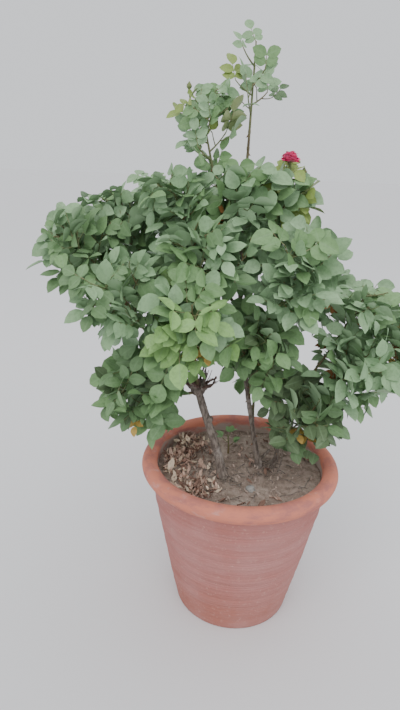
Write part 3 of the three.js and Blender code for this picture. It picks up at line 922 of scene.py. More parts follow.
@dataclass(frozen=True)
class Mass:
    """A mass of foliage: its space, its tints and how much it holds.

    Its leaves' outline is the space, stretched by reach to all sides, by top and low up and down
    and by front towards the viewer. From the share leafy on, its bough bears leaves too.
    """

    name: str
    centre: Triple
    half: Triple
    palette: Palette = Palette.SUNLIT
    leaflets: int = 190
    leaf_size: float = 39.0
    top: float = 0.9
    reach: float = 1.0
    front: float = 1.0
    low: float = 1.0
    leafy: float = 1.0


# The lowest masses take the dim or low palette, which is painted shade.
MASSES: tuple[Mass, ...] = (
    Mass("far_left", (-276, -14, 655), (80, 74, 84), leaflets=220, leaf_size=35.0),
    Mass("upper_left", (-208, 40, 700), (80, 74, 72), Palette.SOFT, 220, 35),
    Mass("upper_mid", (-122, 8, 728), (74, 72, 72), Palette.SOFT, 220, 35),
    Mass("mid_left", (-200, -72, 588), (80, 72, 80), Palette.SUNLIT, 250, 35, top=1.0, reach=1.12),
    Mass("low_left", (-172, -32, 421), (84, 72, 74), Palette.DIM, 250, top=1.45, reach=1.05),
    Mass("front_centre", (-92, -112, 560), (74, 66, 88), Palette.FRESH, 250, 39, 1.0, low=1.45, leafy=0.72),
    Mass("centre", (-78, -62, 655), (74, 66, 74), leaflets=250, reach=1.12, low=1.2),
    Mass("crown_top", (-28, 10, 742), (76, 72, 76), Palette.SOFT, top=0.78),
    Mass("spire", (-88, 24, 846), (58, 52, 82), Palette.TIP, 140, 31, low=2.1, leafy=0.3),
    Mass("tall_tip", (-14, 60, 926), (56, 50, 84), Palette.TALL, 42, 27, low=1.3),
    Mass("upper_right", (42, 30, 744), (66, 64, 76), Palette.TALL, 150, top=0.78),
    Mass("right", (52, -44, 640), (72, 68, 84), Palette.SOFT, 240, reach=1.15, low=1.25),
    Mass("low_mid", (18, -24, 512), (58, 58, 76), Palette.DIM, 280, top=1.45, reach=1.3, low=1.1),
    Mass("low_right", (102, -36, 386), (78, 68, 72), Palette.LOW, 220, top=1.25, low=0.93),
    Mass("right_mid", (174, -20, 472), (74, 70, 80), Palette.SOFT, 270, reach=1.28),
    Mass("right_top", (190, 20, 584), (74, 68, 76), leaflets=130, top=0.5, reach=1.1),
    Mass("right_edge", (260, 24, 506), (60, 62, 86), Palette.SOFT, 150, top=0.75),
    Mass("back_left", (-150, 150, 580), (84, 76, 90), leaflets=230, front=1.4),
    Mass("back_centre", (-10, 180, 640), (84, 76, 90), leaflets=250, front=1.5),
    Mass("back_right", (130, 148, 566), (82, 74, 86), leaflets=240, front=1.4),
    Mass("back_low", (34, 142, 436), (78, 70, 76), Palette.DIM, 240, front=1.4),
)
CENTRES = np.array([m.centre for m in MASSES], float)
HALVES = np.array([m.half for m in MASSES], float)
MASS_NODES = ["leaves_" + m.name for m in MASSES]


def spread_in(index: int, points: Array) -> Array:
    """0 at a mass's centre and 1 at the wall of its rounded outline."""
    return np.linalg.norm((points - CENTRES[index]) / HALVES[index], axis=-1)


def depth_in(index: int, point: Array) -> float:
    """How far inside its own space a point of a mass is.

    Args:
        index: The mass.
        point: The point.

    Returns:
        Distance to the nearest wall between the mass and another.
    """
    reach = HALVES.mean(axis=1)
    away = ((point - CENTRES) ** 2).sum(axis=1) - reach**2
    apart = 2 * np.linalg.norm(CENTRES - CENTRES[index], axis=1)
    others = np.arange(len(CENTRES)) != index
    return float(((away[others] - away[index]) / apart[others]).min())


@dataclass
class Limb:
    """A stem, cane or bough: its curve and its radii."""

    name: str
    curve: Curve
    r0: float
    r1: float
    flare: float = 0.0
    knots: tuple[tuple[Triple, float], ...] = ()
    snags: tuple[tuple[Triple, Triple, float], ...] = ()

    def radius(self, share: float) -> float:
        """Its radius at a share of its length."""
        widening = self.flare * math.exp(-share * self.curve.length / 11)
        return self.r0 + (self.r1 - self.r0) * share + widening

    def pieces(self) -> list[tuple[Any, Any, float]]:
        """Its straight pieces, knots and snags.

        Returns:
            Start, end and radius of each.
        """
        steps = max(4, round(self.curve.length / 22))
        points = self.curve.spaced(steps)
        ends = zip(points, points[1:], (0, *range(2, steps + 1)))
        bars = [(a, b, self.radius(i / steps)) for a, b, i in ends]
        return bars + [(at, at, r) for at, r in self.knots] + list(self.snags)


BARK = MottledFinish(
    "bark_old", 0.9, grain_scale=420.0, grain_stretch=0.25, bump=0.55, scale=230.0, stretch=0.3,
    low=(0.1, 0.078, 0.064), high=(0.245, 0.205, 0.175), patch=(0.33, 0.29, 0.26),
)
CANE = MottledFinish(
    "bark_cane", 0.7, grain_scale=500.0, grain_stretch=0.2, scale=160.0, stretch=0.35,
    low=(0.1, 0.07, 0.04), high=(0.17, 0.15, 0.075), patch=(0.14, 0.17, 0.07),
)
DRY = MottledFinish(
    "bark_dry", 0.85, bump=0.4, scale=200.0, stretch=0.4,
    low=(0.085, 0.05, 0.04), high=(0.17, 0.1, 0.08), patch=(0.24, 0.18, 0.15),
)
TWIG = MottledFinish(
    "bark_twig", 0.6, bump=0.2, scale=90.0, patch_balance=0.56,
    low=(0.12, 0.15, 0.055), high=(0.17, 0.19, 0.085), patch=(0.2, 0.12, 0.06),
)
STALK = MottledFinish(
    "leaf_stalk", 0.55, bump=0.1, scale=120.0,
    low=(0.17, 0.21, 0.09), high=(0.23, 0.25, 0.12), patch=(0.24, 0.12, 0.07),
)
THORN = MottledFinish(
    "prickle", 0.5, bump=0.1, scale=300.0,
    low=(0.22, 0.1, 0.06), high=(0.3, 0.16, 0.09), patch=(0.32, 0.24, 0.14),
)


@dataclass
class Limbs:
    """The trunks and boughs, their bark and their prickles."""

    tip_radius: float = 1.9
    voxel: float = 0.0009
    relief_depth: float = 0.65
    head: Triple = (-81.0, -5.0, 432.0)
    dry_twigs: int = 34
    thick_twigs: int = 13
    all: dict[str, Limb] = field(default_factory=dict)

    TRUNKS = {
        "trunk_left": ((-32, -30), (-40, -28, 330), (-70, -14, 385), (-81, -5, 430), 7.8, 6.6, 4.5),
        "trunk_right": ((37, 9), (8, 10, 410), (-22, 26, 540), (-19, 40, 708), 4.9, 3.1, 3.5),
        "stem_thin": ((61, 8), (78, 9, 315), (62, 3, 370), (90, -5, 425), 3.4, 2.5, 2.0),
    }
    KNOTS = {
        "trunk_left": (
            ((-81, -5, 428), 13.0),
            ((-91, -9, 437), 8.5),
            ((-72, -12, 436), 8.0),
            ((-78, 6, 437), 8.5),
            ((-60, -18, 378), 7.6),
        ),
        "trunk_right": (((36, 9, 281), 7.5),),
    }
    SNAGS = {
        "trunk_left": (((-84, -12, 434), (-97, -27, 452), 4.2), ((-74, -4, 436), (-68, -2, 459), 3.6)),
        "trunk_right": (((36, 9, 284), (55, 6, 309), 3.4),),
    }
    # Each bough's parent, its place along it, how far its start follows it, and its first radius.
    BOUGHS = {
        "low_left": ("trunk_left", 0.96, 0.1, 3.1),
        "mid_left": ("trunk_left", 0.98, 0.3, 3.4),
        "upper_left": ("trunk_left", 1.0, 0.5, 4.2),
        "far_left": ("upper_left", 0.42, 0.5, 2.9),
        "front_centre": ("trunk_left", 0.97, 0.3, 3.1),
        "back_left": ("trunk_left", 0.95, 0.4, 3.3),
        "centre": ("trunk_right", 0.5, 0.4, 2.9),
        "low_mid": ("trunk_right", 0.3, 0.3, 2.2),
        "right": ("trunk_right", 0.42, 0.3, 2.8),
        "back_low": ("trunk_right", 0.17, 0.4, 2.7),
        "back_right": ("trunk_right", 0.36, 0.3, 3.0),
        "back_centre": ("trunk_right", 0.56, 0.4, 2.9),
        "upper_right": ("trunk_right", 0.72, 0.4, 2.6),
        "upper_mid": ("trunk_right", 0.62, 0.5, 2.5),
        "spire": ("trunk_right", 0.8, 0.5, 2.5),
        "tall_tip": ("trunk_right", 1.0, 0.6, 2.8),
        "crown_top": ("trunk_right", 0.9, 0.3, 2.3),
        "low_right": ("stem_thin", 0.4, 0.2, 2.0),
        "right_mid": ("stem_thin", 0.86, 0.2, 2.1),
        "right_top": ("stem_thin", 1.0, 0.4, 2.3),
        "right_edge": ("right_mid", 0.4, 0.3, 1.8),
    }
    THORN_POINTS = (
        (0, 0.16, 0), (0, 0.1, 0.5), (0, -0.1, 0.5), (0, -0.16, 0), (0, 0, -0.5),
        (0.5, 0.05, 0.05), (0.5, -0.05, 0.05), (0.5, 0, -0.25), (1, 0, -0.35),
    )
    THORN_FACES = (
        (0, 1, 5), (1, 2, 6, 5), (2, 3, 6), (3, 4, 7, 6), (4, 0, 5, 7),
        (5, 6, 8), (6, 7, 8), (7, 5, 8), (4, 3, 2, 1, 0),
    )

    def __post_init__(self) -> None:
        """Works out every limb by the rule of the part's source."""
        for name, (foot, c1, c2, tip, r0, r1, flare) in self.TRUNKS.items():
            curve = Curve((*foot, SOIL_LEVEL + GAP), c1, c2, tip)
            knots, snags = self.KNOTS.get(name, ()), self.SNAGS.get(name, ())
            self.all[name] = Limb(name, curve, r0, r1, flare, knots, snags)
        names = [m.name for m in MASSES]
        for name, (parent, at, lift, r0) in self.BOUGHS.items():
            stem = self.all.get(parent) or self.all["bough_" + parent]
            curve = self.bough_curve(names.index(name), stem.curve, at, lift)
            self.all["bough_" + name] = Limb("bough_" + name, curve, r0, self.tip_radius)

    @staticmethod
    def bough_curve(index: int, parent: Curve, at: float, lift: float) -> Curve:
        """A bough's curve from its parent to where it enters its mass.

        Args:
            index: The mass.
            parent: The parent's curve.
            at: Its place along the parent.
            lift: How far its start follows the parent's way.

        Returns:
            The curve.
        """
        start, onwards = parent.place(at), parent.way(at)
        if at == 1:
            start = start + onwards * GAP
        tip = start
        for step in range(1, 40):
            tip = start + (CENTRES[index] - start) * 0.02 * step
            if spread_in(index, tip) <= 0.78 and depth_in(index, tip) > 6:
                break
        length = float(np.linalg.norm(tip - start))
        straight = (tip - start) / length
        heading = unit(straight + (onwards - straight) * lift)
        arrival = unit(straight + 0.25 * UP)
        return Curve(start, start + heading * length * 0.42, tip - arrival * length * 0.3, tip)

    @staticmethod
    def round_bar(
        curve: Curve, radius: Callable[[float], float], sides: int, step: float
    ) -> tuple[Array, list[tuple[int, ...]]]:
        """A round closed tube along a curve.

        Args:
            curve: The curve.
            radius: Radius at a share of its length.
            sides: Points round it.
            step: Distance between its rings.

        Returns:
            Its vertices and faces.
        """
        count = max(3, round(curve.length / step))
        points: list[Array] = []
        side = np.array([0.0, 1.0, 0.0])
        angles = np.arange(sides)[:, None] * math.tau / sides
        for share in (i / count for i in range(count + 1)):
            way = curve.way(share)
            side = unit(side - way * (side @ way))
            ring = np.cos(angles) * side + np.sin(angles) * np.cross(way, side)
            points.append(curve.place(share) + ring * radius(share))
        points += [curve.place(0)[None], curve.place(1)[None]]
        return np.concatenate(points), ring_faces(count + 1, sides)

    def trunk_piece(self, limb: Limb) -> Object:
        """A trunk with its knots and snags grown together and its bark in relief.

        Args:
            limb: The trunk.

        Returns:
            Its mesh object.
        """
        vertices, faces = self.round_bar(limb.curve, limb.radius, 20, 4)
        vertices[vertices[:, 2] < SOIL_LEVEL + 3, 2] = SOIL_LEVEL - 1
        rough = mesh_piece(limb.name + "_rough", vertices, faces)
        bm = bmesh.new()
        bm.from_mesh(rough.data)
        for at, r in limb.knots:
            place = Matrix.Translation(Vector(at) * MM) @ Matrix.Diagonal((1, 1, 0.88, 1))
            bmesh.ops.create_icosphere(bm, subdivisions=3, radius=r * MM, matrix=place)
        for a, b, r in limb.snags:
            way = Vector(b) - Vector(a)
            turn = way.to_track_quat("Z", "Y").to_matrix().to_4x4()
            cone = {"radius1": r * MM, "radius2": r * 0.75 * MM, "depth": way.length * MM}
            cone["matrix"] = Matrix.Translation((Vector(a) + way / 2) * MM) @ turn
            bmesh.ops.create_cone(bm, cap_ends=True, segments=14, **cone)
        bm.to_mesh(rough.data)
        bm.free()
        remesh = rough.modifiers.new("grow_together", "REMESH")
        remesh.mode, remesh.voxel_size = "VOXEL", self.voxel
        made = evaluated(rough, "bark_" + limb.name)
        self.relief(made.data, self.relief_depth)
        smooth_faces(made.data)
        return made

    @staticmethod
    def relief(mesh: bpy.types.Mesh, depth: float) -> None:
        """Cuts long fissures and raises small lumps on a trunk's skin.

        Args:
            mesh: The mesh, in metres.
            depth: Depth of the fissures, in millimetres.
        """
        places = np.zeros(3 * len(mesh.vertices), np.float32)
        normals = np.zeros_like(places)
        mesh.vertices.foreach_get("co", places)
        mesh.vertex_normals.foreach_get("vector", normals)
        places, normals = places.reshape(-1, 3), normals.reshape(-1, 3)
        push = np.zeros(len(places))
        for i, (x, y, z) in enumerate(places.tolist()):
            ridge = abs(noise.noise(Vector((x * 320, y * 320, z * 62))))
            lumps = noise.noise(Vector((x * 110, y * 110, z * 75)))
            fine = noise.noise(Vector((x * 900, y * 900, z * 500)))
            push[i] = 0.5 * depth * (min(ridge * 3.2, 1) - 1) + 0.45 * lumps + 0.14 * fine
        push[places[:, 2] < (SOIL_LEVEL + 2) * MM] = 0
        places += normals * (push * MM)[:, None]
        mesh.vertices.foreach_set("co", places.ravel())
        mesh.update()

    def bough_piece(self, limb: Limb, seed: int) -> Object:
        """A bough with swollen joints and lightly ribbed bark.

        Args:
            limb: The bough.
            seed: Start of its joints.

        Returns:
            Its mesh object.
        """
        first = Dice(seed).next() * 20

        def radius(share: float) -> float:
            """Radius at a share of the length, with its joints and the collar at its foot.

            Args:
                share: Share of the length, 0 to 1.

            Returns:
                The radius.
            """
            along = share * limb.curve.length
            joint = abs((along + first) % 24 - 12)
            return limb.radius(share) + 0.55 * math.exp(-(joint**2) / 3) + 1.1 * math.exp(-along / 4)

        vertices, faces = self.round_bar(limb.curve, radius, 12, 2.2)
        lumps = [noise.noise(Vector(v) * 0.35) * 0.3 for v in vertices]
        axis = limb.curve.spaced(59)
        near = axis[((vertices[:, None] - axis) ** 2).sum(-1).argmin(1)]
        vertices += unit(vertices - near) * np.array(lumps)[:, None]
        return mesh_piece("cane_" + limb.name[6:], vertices, faces)

    def dead_twigs(self) -> Lines:
        """Short dry twigs that bristle from the knotted head of the old trunk.

        Returns:
            Their lines, the thick ones first.
        """
        dice, lines = Dice(517), Lines()
        s = np.linspace(0, 1, 6)[:, None]
        for number in range(self.dry_twigs):
            way = around(number * GOLDEN_TURN + dice.spread(0.4))
            way = unit(way + (0.1 + 0.7 * dice.next()) * UP)
            old = number < self.thick_twigs
            reach = 20 + 12 * dice.next() if old else 16 + 20 * dice.next()
            bend = UP * (6 + 9 * dice.next())
            kink = (dice.spread(5), dice.spread(5), dice.spread(3))
            line = self.head + way * (5 + reach * s) + bend * s * s + np.sin(4 * s) * kink
            lines.put(line, (2.5 if old else 1.0) * (1 - 0.5 * s[:, 0]))
        return lines

    def prickles(self) -> Placings:
        """Where the prickles stand along the limbs, but for the old trunk.

        Returns:
            Their places.
        """
        placings = Placings()
        for number, limb in enumerate(self.all.values()):
            dice = Dice(4001 + 17 * number)
            along, turn = 14 + dice.next() * 20, dice.next() * math.tau
            while along < limb.curve.length - 6:
                share = along / limb.curve.length
                way = limb.curve.way(share)
                first = unit(np.cross(way, (0.3, 1.0, 0.2)))
                out = math.cos(turn) * first + math.sin(turn) * np.cross(way, first)
                place = limb.curve.place(share) + out * (limb.radius(share) - 0.3)
                if limb.name != "trunk_left":
                    placings.put(place, out - 0.25 * way, way, 3.4 + dice.next() * 2.2)
                along += 11 + dice.next() * 17
                turn += GOLDEN_TURN + dice.spread(0.5)
        return placings

    def build(self) -> None:
        """Builds the bark, canes, dry twigs and prickles."""
        bark, cane = BARK.material(), CANE.material()
        for number, (name, limb) in enumerate(self.all.items()):
            if name in self.TRUNKS:
                dress(self.trunk_piece(limb), [name], bark)
            else:
                dress(self.bough_piece(limb, 71 * number), [name], cane)
        dress(self.dead_twigs().grow("dead_twigs", 6, DRY.material()))
        thorn = mesh_piece("thorn_shape", np.array(self.THORN_POINTS) * 1000, self.THORN_FACES)
        pieces = collection_of("thorns", [thorn])
        dress(self.prickles().grow("prickles", pieces, THORN.material()))


# Crown


@dataclass
class Shoot:
    """A shoot of a mass: its curve, its radii, what it grows from and how far it is used."""

    curve: Curve
    r0: float
    r1: float
    bare: float
    spray: int = 0
    parent: Shoot | None = None
    share: float = 0.0
    used: float = 0.0

    def line(self, upto: float = 1.0) -> tuple[Array, list[float]]:
        """Its points up to a share of its length.

        Args:
            upto: The share.

        Returns:
            The points, and its radius at each.
        """
        steps = max(3, round(self.curve.length * upto / 9))
        shares = [upto * i / steps for i in range(steps + 1)]
        radii = [self.r0 + (self.r1 - self.r0) * s for s in shares]
        return np.array([self.curve.place(s) for s in shares]), radii


@dataclass(eq=False)
class LeafNode:
    """A place on a shoot where a leaf grows."""

    base: Array
    onwards: Array
    turn: float
    light: Array
    rise: float
    pairs: int
    rank: float
    vigour: float
    share: float
    shoot: Shoot


@dataclass
class Crown:
    """The foliage: shoots, leaf stalks and leaflets, grown mass by mass from the boughs."""

    limbs: Limbs
    side_shares: tuple[float, ...] = (0.1, 0.22, 0.34, 0.46, 0.58, 0.7, 0.84)
    twig_shares: tuple[float, ...] = (0.32, 0.58, 0.84)
    leaf_pitch: float = 13.0
    sizes: tuple[float, ...] = (1.0, 0.8)
    turns: tuple[float, ...] = (0.0, 0.7, -0.7, 1.4, -1.4, 2.3)
    rises: tuple[float, ...] = (0.0, 0.8)
    pairs: tuple[int, ...] = (1, 2, 2, 2, 3)
    width: float = 0.7
    widest: float = 0.44
    root_trim: float = 2.0
    old_leaves: float = 0.04
    spray_tint: float = 0.6
    outline_shares: tuple[float, float] = (0.88, 1.32)
    axis: Triple = (-20.0, 70.0, 0.0)
    open_sky: Triple = (0.0, -0.35, 0.0)

    def __post_init__(self) -> None:
        """Starts with no leaves, and lists the limbs' pieces that leaves keep off."""
        pieces = [p for limb in self.limbs.all.values() for p in limb.pieces()]
        self.bars = np.array([(a, b) for a, b, _ in pieces])
        self.bar_radii = np.array([r for _, _, r in pieces])
        self.twigs = Lines()
        self.stalks = Lines()
        self.leaflets: dict[Tint, Placings] = {tint: Placings() for tint in Tint}
        self.outlines = np.zeros((0, 4, 3))
        self.middles = np.zeros((0, 3))
        self.lengths = np.zeros(0)

    def near_bars(self, index: int) -> tuple[Array, Array]:
        """Finds the limbs near a mass.

        Args:
            index: The mass.

        Returns:
            Starts and ends of their pieces, and the pieces' radii.
        """
        centre = CENTRES[index]
        away = line_distance(centre, centre, self.bars[:, 0], self.bars[:, 1])
        near = away < HALVES[index].max() * self.outline_shares[1] + self.bar_radii + 3
        return self.bars[near], self.bar_radii[near]

    @staticmethod
    def share_of(index: int, points: Array) -> Array:
        """How far out in a mass's stretched outline points are.

        Args:
            index: The mass.
            points: The points.

        Returns:
            0 at its centre and 1 at the wall that its leaves keep to.
        """
        mass = MASSES[index]
        offset = (points - CENTRES[index]) / HALVES[index] / mass.reach
        offset[..., 1] /= np.where(offset[..., 1] < 0, mass.front, 1)
        offset[..., 2] /= np.where(offset[..., 2] > 0, mass.top, mass.low)
        return np.linalg.norm(offset, axis=-1)

    @staticmethod
    def is_clear(ends: Array, bars: Array, radii: Array) -> Array:
        """True for each line, as its start and end, that keeps off the limbs' pieces."""
        away = line_distance(ends[:, None, 0], ends[:, None, 1], bars[None, :, 0], bars[None, :, 1])
        return (away >= radii + 1.5).all(axis=1)

    @staticmethod
    def square_to(direction: Array) -> tuple[Array, Array]:
        """Two directions square to a shoot, steady along its length.

        Args:
            direction: The shoot's own direction.

        Returns:
            The two directions.
        """
        rough = np.array([0.0, 1.0, 0.0]) if abs(direction[1]) < 0.8 else np.array([1.0, 0.0, 0.0])
        first = unit(rough - direction * (rough @ direction))
        return first, np.cross(direction, first)

    @staticmethod
    def shoot_curve(start: Array, heading: Array, end: Array) -> Curve:
        """A shoot's curve, which bends up a little as it arrives.

        Args:
            start: Where it starts.
            heading: The way it sets off.
            end: Where it ends.

        Returns:
            The curve.
        """
        length = float(np.linalg.norm(end - start))
        arrival = unit(unit(end - start) + 0.35 * UP)
        return Curve(start, start + heading * length * 0.35, end - arrival * length * 0.3, end)

    def main_shoot(self, index: int) -> Shoot:
        """The shoot that grows on from the mass's bough.

        Args:
            index: The mass.

        Returns:
            The shoot.
        """
        bough = self.limbs.all["bough_" + MASSES[index].name]
        heading = bough.curve.way(1)
        start = bough.curve.place(1) - heading * 1.5
        middle, half = CENTRES[index], HALVES[index]
        onwards = unit(unit(middle - start) + 0.6 * UP)
        bars, radii = self.near_bars(index)
        end, share = middle, 0.62
        while share > 0:
            end = middle + onwards * half * share
            if spread_in(index, end) <= 1 and self.is_clear(np.array([[middle, end]]), bars, radii)[0]:
                break
            share -= 0.04
        return Shoot(self.shoot_curve(start, heading, end), 2.0, 1.1, 0.12)

    def shoots_of(self, index: int, dice: Dice) -> list[Shoot]:
        """The main shoot of a mass, its side shoots and their twigs.

        Args:
            index: The mass.
            dice: The mass's numbers.

        Returns:
            The shoots, the main one first.
        """
        mass, half = MASSES[index], HALVES[index]
        bars, radii = self.near_bars(index)
        main = self.main_shoot(index)
        shoots = [main]
        turn = dice.next() * math.tau

        def try_branch(parent: Shoot, share: float, reach: float, sizes: tuple[float, ...]) -> None:
            """Adds a branch off a shoot, if it stays in the mass and clear of the limbs.

            Args:
                parent: The shoot.
                share: The branch's place along it.
                reach: How far the branch goes.
                sizes: Its first and last radius, and the share of it that stays bare.
            """
            base, along = parent.curve.place(share), parent.curve.way(share)
            first, second = self.square_to(along)
            way = unit(math.cos(turn) * first + math.sin(turn) * second + 0.55 * along)
            curve = self.shoot_curve(base, way, base + way * reach + UP * reach * 0.2)
            points = curve.spaced(3)
            ends = np.stack([points[1:-1], points[2:]], axis=1)
            inside = self.share_of(index, points[-1]) <= 1.02
            if inside and self.is_clear(ends, bars, radii).all():
                spray = parent.spray or len(shoots)
                shoots.append(Shoot(curve, *sizes, spray, parent, share))

        for share in self.side_shares:
            turn += GOLDEN_TURN
            reach = 0.62 * half[0] * (1 - 0.25 * share) * mass.reach
            try_branch(main, share, reach, (1.5, 0.8, 0.3))
        for side in shoots[1:]:
            for share in self.twig_shares:
                turn += GOLDEN_TURN
                try_branch(side, share, 0.3 * half[0], (0.95, 0.6, 0.4))
        if mass.leafy < 1:
            shoots.append(Shoot(self.limbs.all["bough_" + mass.name].curve, 0.0, 0.0, mass.leafy))
        return shoots

    def nodes_along(self, index: int, shoot: Shoot, dice: Dice) -> list[LeafNode]:
        """The leaf places of a shoot, one after another round it, the last at its tip.

        Args:
            index: The mass.
            shoot: The shoot.
            dice: The mass's numbers.

        Returns:
            The places.
        """
        span = 1 - shoot.bare
        count = max(2, round(shoot.curve.length * span / self.leaf_pitch) + 1)
        outward = unit((CENTRES[index] - self.axis) * (1, 1, 0))
        turn = dice.next() * math.tau
        nodes = []
        for i in range(count):
            share = min(shoot.bare + span * i / (count - 1), 0.99)
            at_tip = i == count - 1
            stray = (dice.spread(0.55), dice.spread(0.55), dice.spread(0.25))
            light = UP + 0.45 * outward + self.open_sky + stray
            turn += GOLDEN_TURN + dice.spread(0.3)
            place, onwards = shoot.curve.place(share), shoot.curve.way(share)
            rise = 1.6 if at_tip else 0.6 + dice.spread(0.35)
            pairs = dice.pick(self.pairs)
            rank = 0.0 if at_tip or shoot.r0 == 0 else 0.1 + dice.next()
            nodes.append(LeafNode(place, onwards, turn, light, rise, pairs, rank, dice.next(), share, shoot))
        return nodes

    def leaves_at(self, node: LeafNode, unit_length: float) -> dict[str, Array]:
        """A compound leaf at a node, at each of several turns round it.

        Args:
            node: Where it grows.
            unit_length: Length of its end leaflet.

        Returns:
            Its stalk's way and each leaflet's spot on it, root, way, face and length.
        """
        first, second = self.square_to(node.onwards)
        ways = []
        for extra in self.rises:
            for shift in self.turns:
                angle = node.turn + shift
                out = math.cos(angle) * first + math.sin(angle) * second
                ways.append(out + node.onwards * (node.rise + extra))
        along = unit(np.array(ways))
        face = unit(node.light - along * (along @ node.light)[:, None])
        side = np.cross(face, along)
        reach = unit_length * (0.24 + 0.42 * node.pairs)
        leaflets = [(reach, along - 0.12 * face, 0.0, unit_length)]
        for pair in range(node.pairs):
            spot = unit_length * (0.24 + 0.42 * pair)
            length = unit_length * (0.92 if pair == node.pairs - 1 else 0.8)
            for hand in (-1, 1):
                way = 0.4 * along + hand * side - 0.18 * face
                leaflets.append((spot, way, 0.3 * hand, length))
        return {
            "along": along,
            "spot": np.array([spot for spot, *_ in leaflets]),
            "root": np.stack([node.base + along * spot for spot, *_ in leaflets], axis=1),
            "way": np.stack([unit(way) for _, way, *_ in leaflets], axis=1),
            "face": np.stack([unit(face + side * tilt) for *_, tilt, _ in leaflets], axis=1),
            "length": np.array([length for *_, length in leaflets]),
        }

    def kites(self, leaf: dict[str, Array]) -> Array:
        """The outlines of a leaf's leaflets.

        Args:
            leaf: The leaf.

        Returns:
            Root, left, tip and right of each leaflet.
        """
        root, way, length = leaf["root"], leaf["way"], leaf["length"][:, None]
        side = unit(np.cross(leaf["face"], way)) * self.width / 2
        left, right = (root + (way * self.widest + s) * length for s in (side, -side))
        return np.stack([root + way * self.root_trim, left, root + way * length, right], axis=-2)

    def fitting_leaf(
        self, index: int, node: LeafNode, unit_length: float, limbs: Any, lines: Array
    ) -> tuple[dict[str, Array], Array, Array]:
        """The leaf that keeps the most leaflets at a node.

        Args:
            index: The mass.
            node: Where it grows.
            unit_length: Length of its end leaflet.
            limbs: Pieces of limbs near by, and their radii.
            lines: Shoots and stalks near by, as (lines, 2, 3).

        Returns:
            The leaf, its outlines, and which of its leaflets fit.
        """
        bars, radii = limbs
        leaf = self.leaves_at(node, unit_length)
        kites = self.kites(leaf)
        turns, count = kites.shape[:2]
        flat = kites.reshape(-1, 4, 3)
        middles = flat.mean(axis=1)
        reach = 0.55 * np.tile(leaf["length"], turns)
        low, high = self.outline_shares
        by_leaf = 0.5 + 0.5 * math.sin(57 * node.rank + 3 * node.turn)
        by_spray = 0.5 + 0.5 * math.sin(2.4 * node.shoot.spray + 5 * index)
        limit = low + (high - low) * (0.45 * by_leaf + 0.55 * by_spray)
        fits = (self.share_of(index, flat) <= limit).all(axis=1)
        fits &= flat[:, :, 2].min(axis=1) > SOIL_LEVEL + 6
        i, j = self.near(middles, reach, fits, bars.mean(axis=1), self.half_of(bars) + radii + 2)
        starts, ends = flat[i], np.roll(flat[i], -1, axis=1)
        away = line_distance(starts, ends, bars[j, None, 0], bars[j, None, 1])
        fits[i[(away < radii[j, None] + 1).any(axis=1)]] = False
        i, j = self.near(middles, reach, fits, lines.mean(axis=1), self.half_of(lines))
        p, q = lines[j, 0], lines[j, 1]
        a, b, c, d = (flat[i, k] for k in range(4))
        fits[i[crosses(p, q, a, b, c) | crosses(p, q, a, c, d)]] = False
        i, j = self.near(middles, reach, fits, self.middles, 0.5 * self.lengths)
        fits[i[kites_cross(flat[i], self.outlines[j])]] = False
        by_turn = fits.reshape(turns, count)
        best = int(by_turn.sum(axis=1).argmax())
        chosen = {k: (v if k in ("length", "spot") else v[best]) for k, v in leaf.items()}
        return chosen, kites[best], by_turn[best]

    @staticmethod
    def half_of(lines: Array) -> Array:
        """Half the length of each line."""
        return 0.5 * np.linalg.norm(lines[:, 1] - lines[:, 0], axis=1)

    @staticmethod
    def near(
        middles: Array, reach: Array, alive: Array, others: Array, other_reach: Any
    ) -> tuple[Array, Array]:
        """Pairs of things whose rounded boxes touch.

        Args:
            middles: Middles of the first things.
            reach: How far each goes from its middle.
            alive: Which of them are still asked about.
            others: Middles of the others.
            other_reach: How far each of these goes.

        Returns:
            Numbers of the first thing and of the other of each pair.
        """
        asked = np.flatnonzero(alive)
        away = ((middles[asked, None] - others[None]) ** 2).sum(axis=-1)
        i, j = np.nonzero(away < (reach[asked, None] + other_reach[None]) ** 2)
        return asked[i], j

    def keep_leaf(self, base: Array, fitting: Any, tint: Tint, dice: Dice) -> Array:
        """Adds a leaf's stalk and leaflets.

        Args:
            base: Where it grows.
            fitting: The leaf, its outlines, and which of its leaflets are kept.
            tint: Its colour.
            dice: The mass's numbers.

        Returns:
            The stalk's start and end.
        """
        leaf, kites, fits = fitting
        reach = float(leaf["spot"][fits].max())
        steps = np.linspace(0, 1, 5)[:, None]
        line = base + leaf["along"] * reach * steps - 0.16 * reach * steps * (1 - steps) * UP
        self.stalks.put(line, [0.85, 0.75, 0.68, 0.6, 0.55])
        for k in np.flatnonzero(fits):
            root, way, face, size = (leaf[key][k] for key in ("root", "way", "face", "length"))
            self.leaflets[tint].put(root, way, face, float(size), dice.pick(range(4)))
        self.outlines = np.concatenate([self.outlines, kites[fits]])
        self.middles = np.concatenate([self.middles, kites[fits].mean(axis=1)])
        self.lengths = np.concatenate([self.lengths, leaf["length"][fits]])
        return line[[0, -1]]

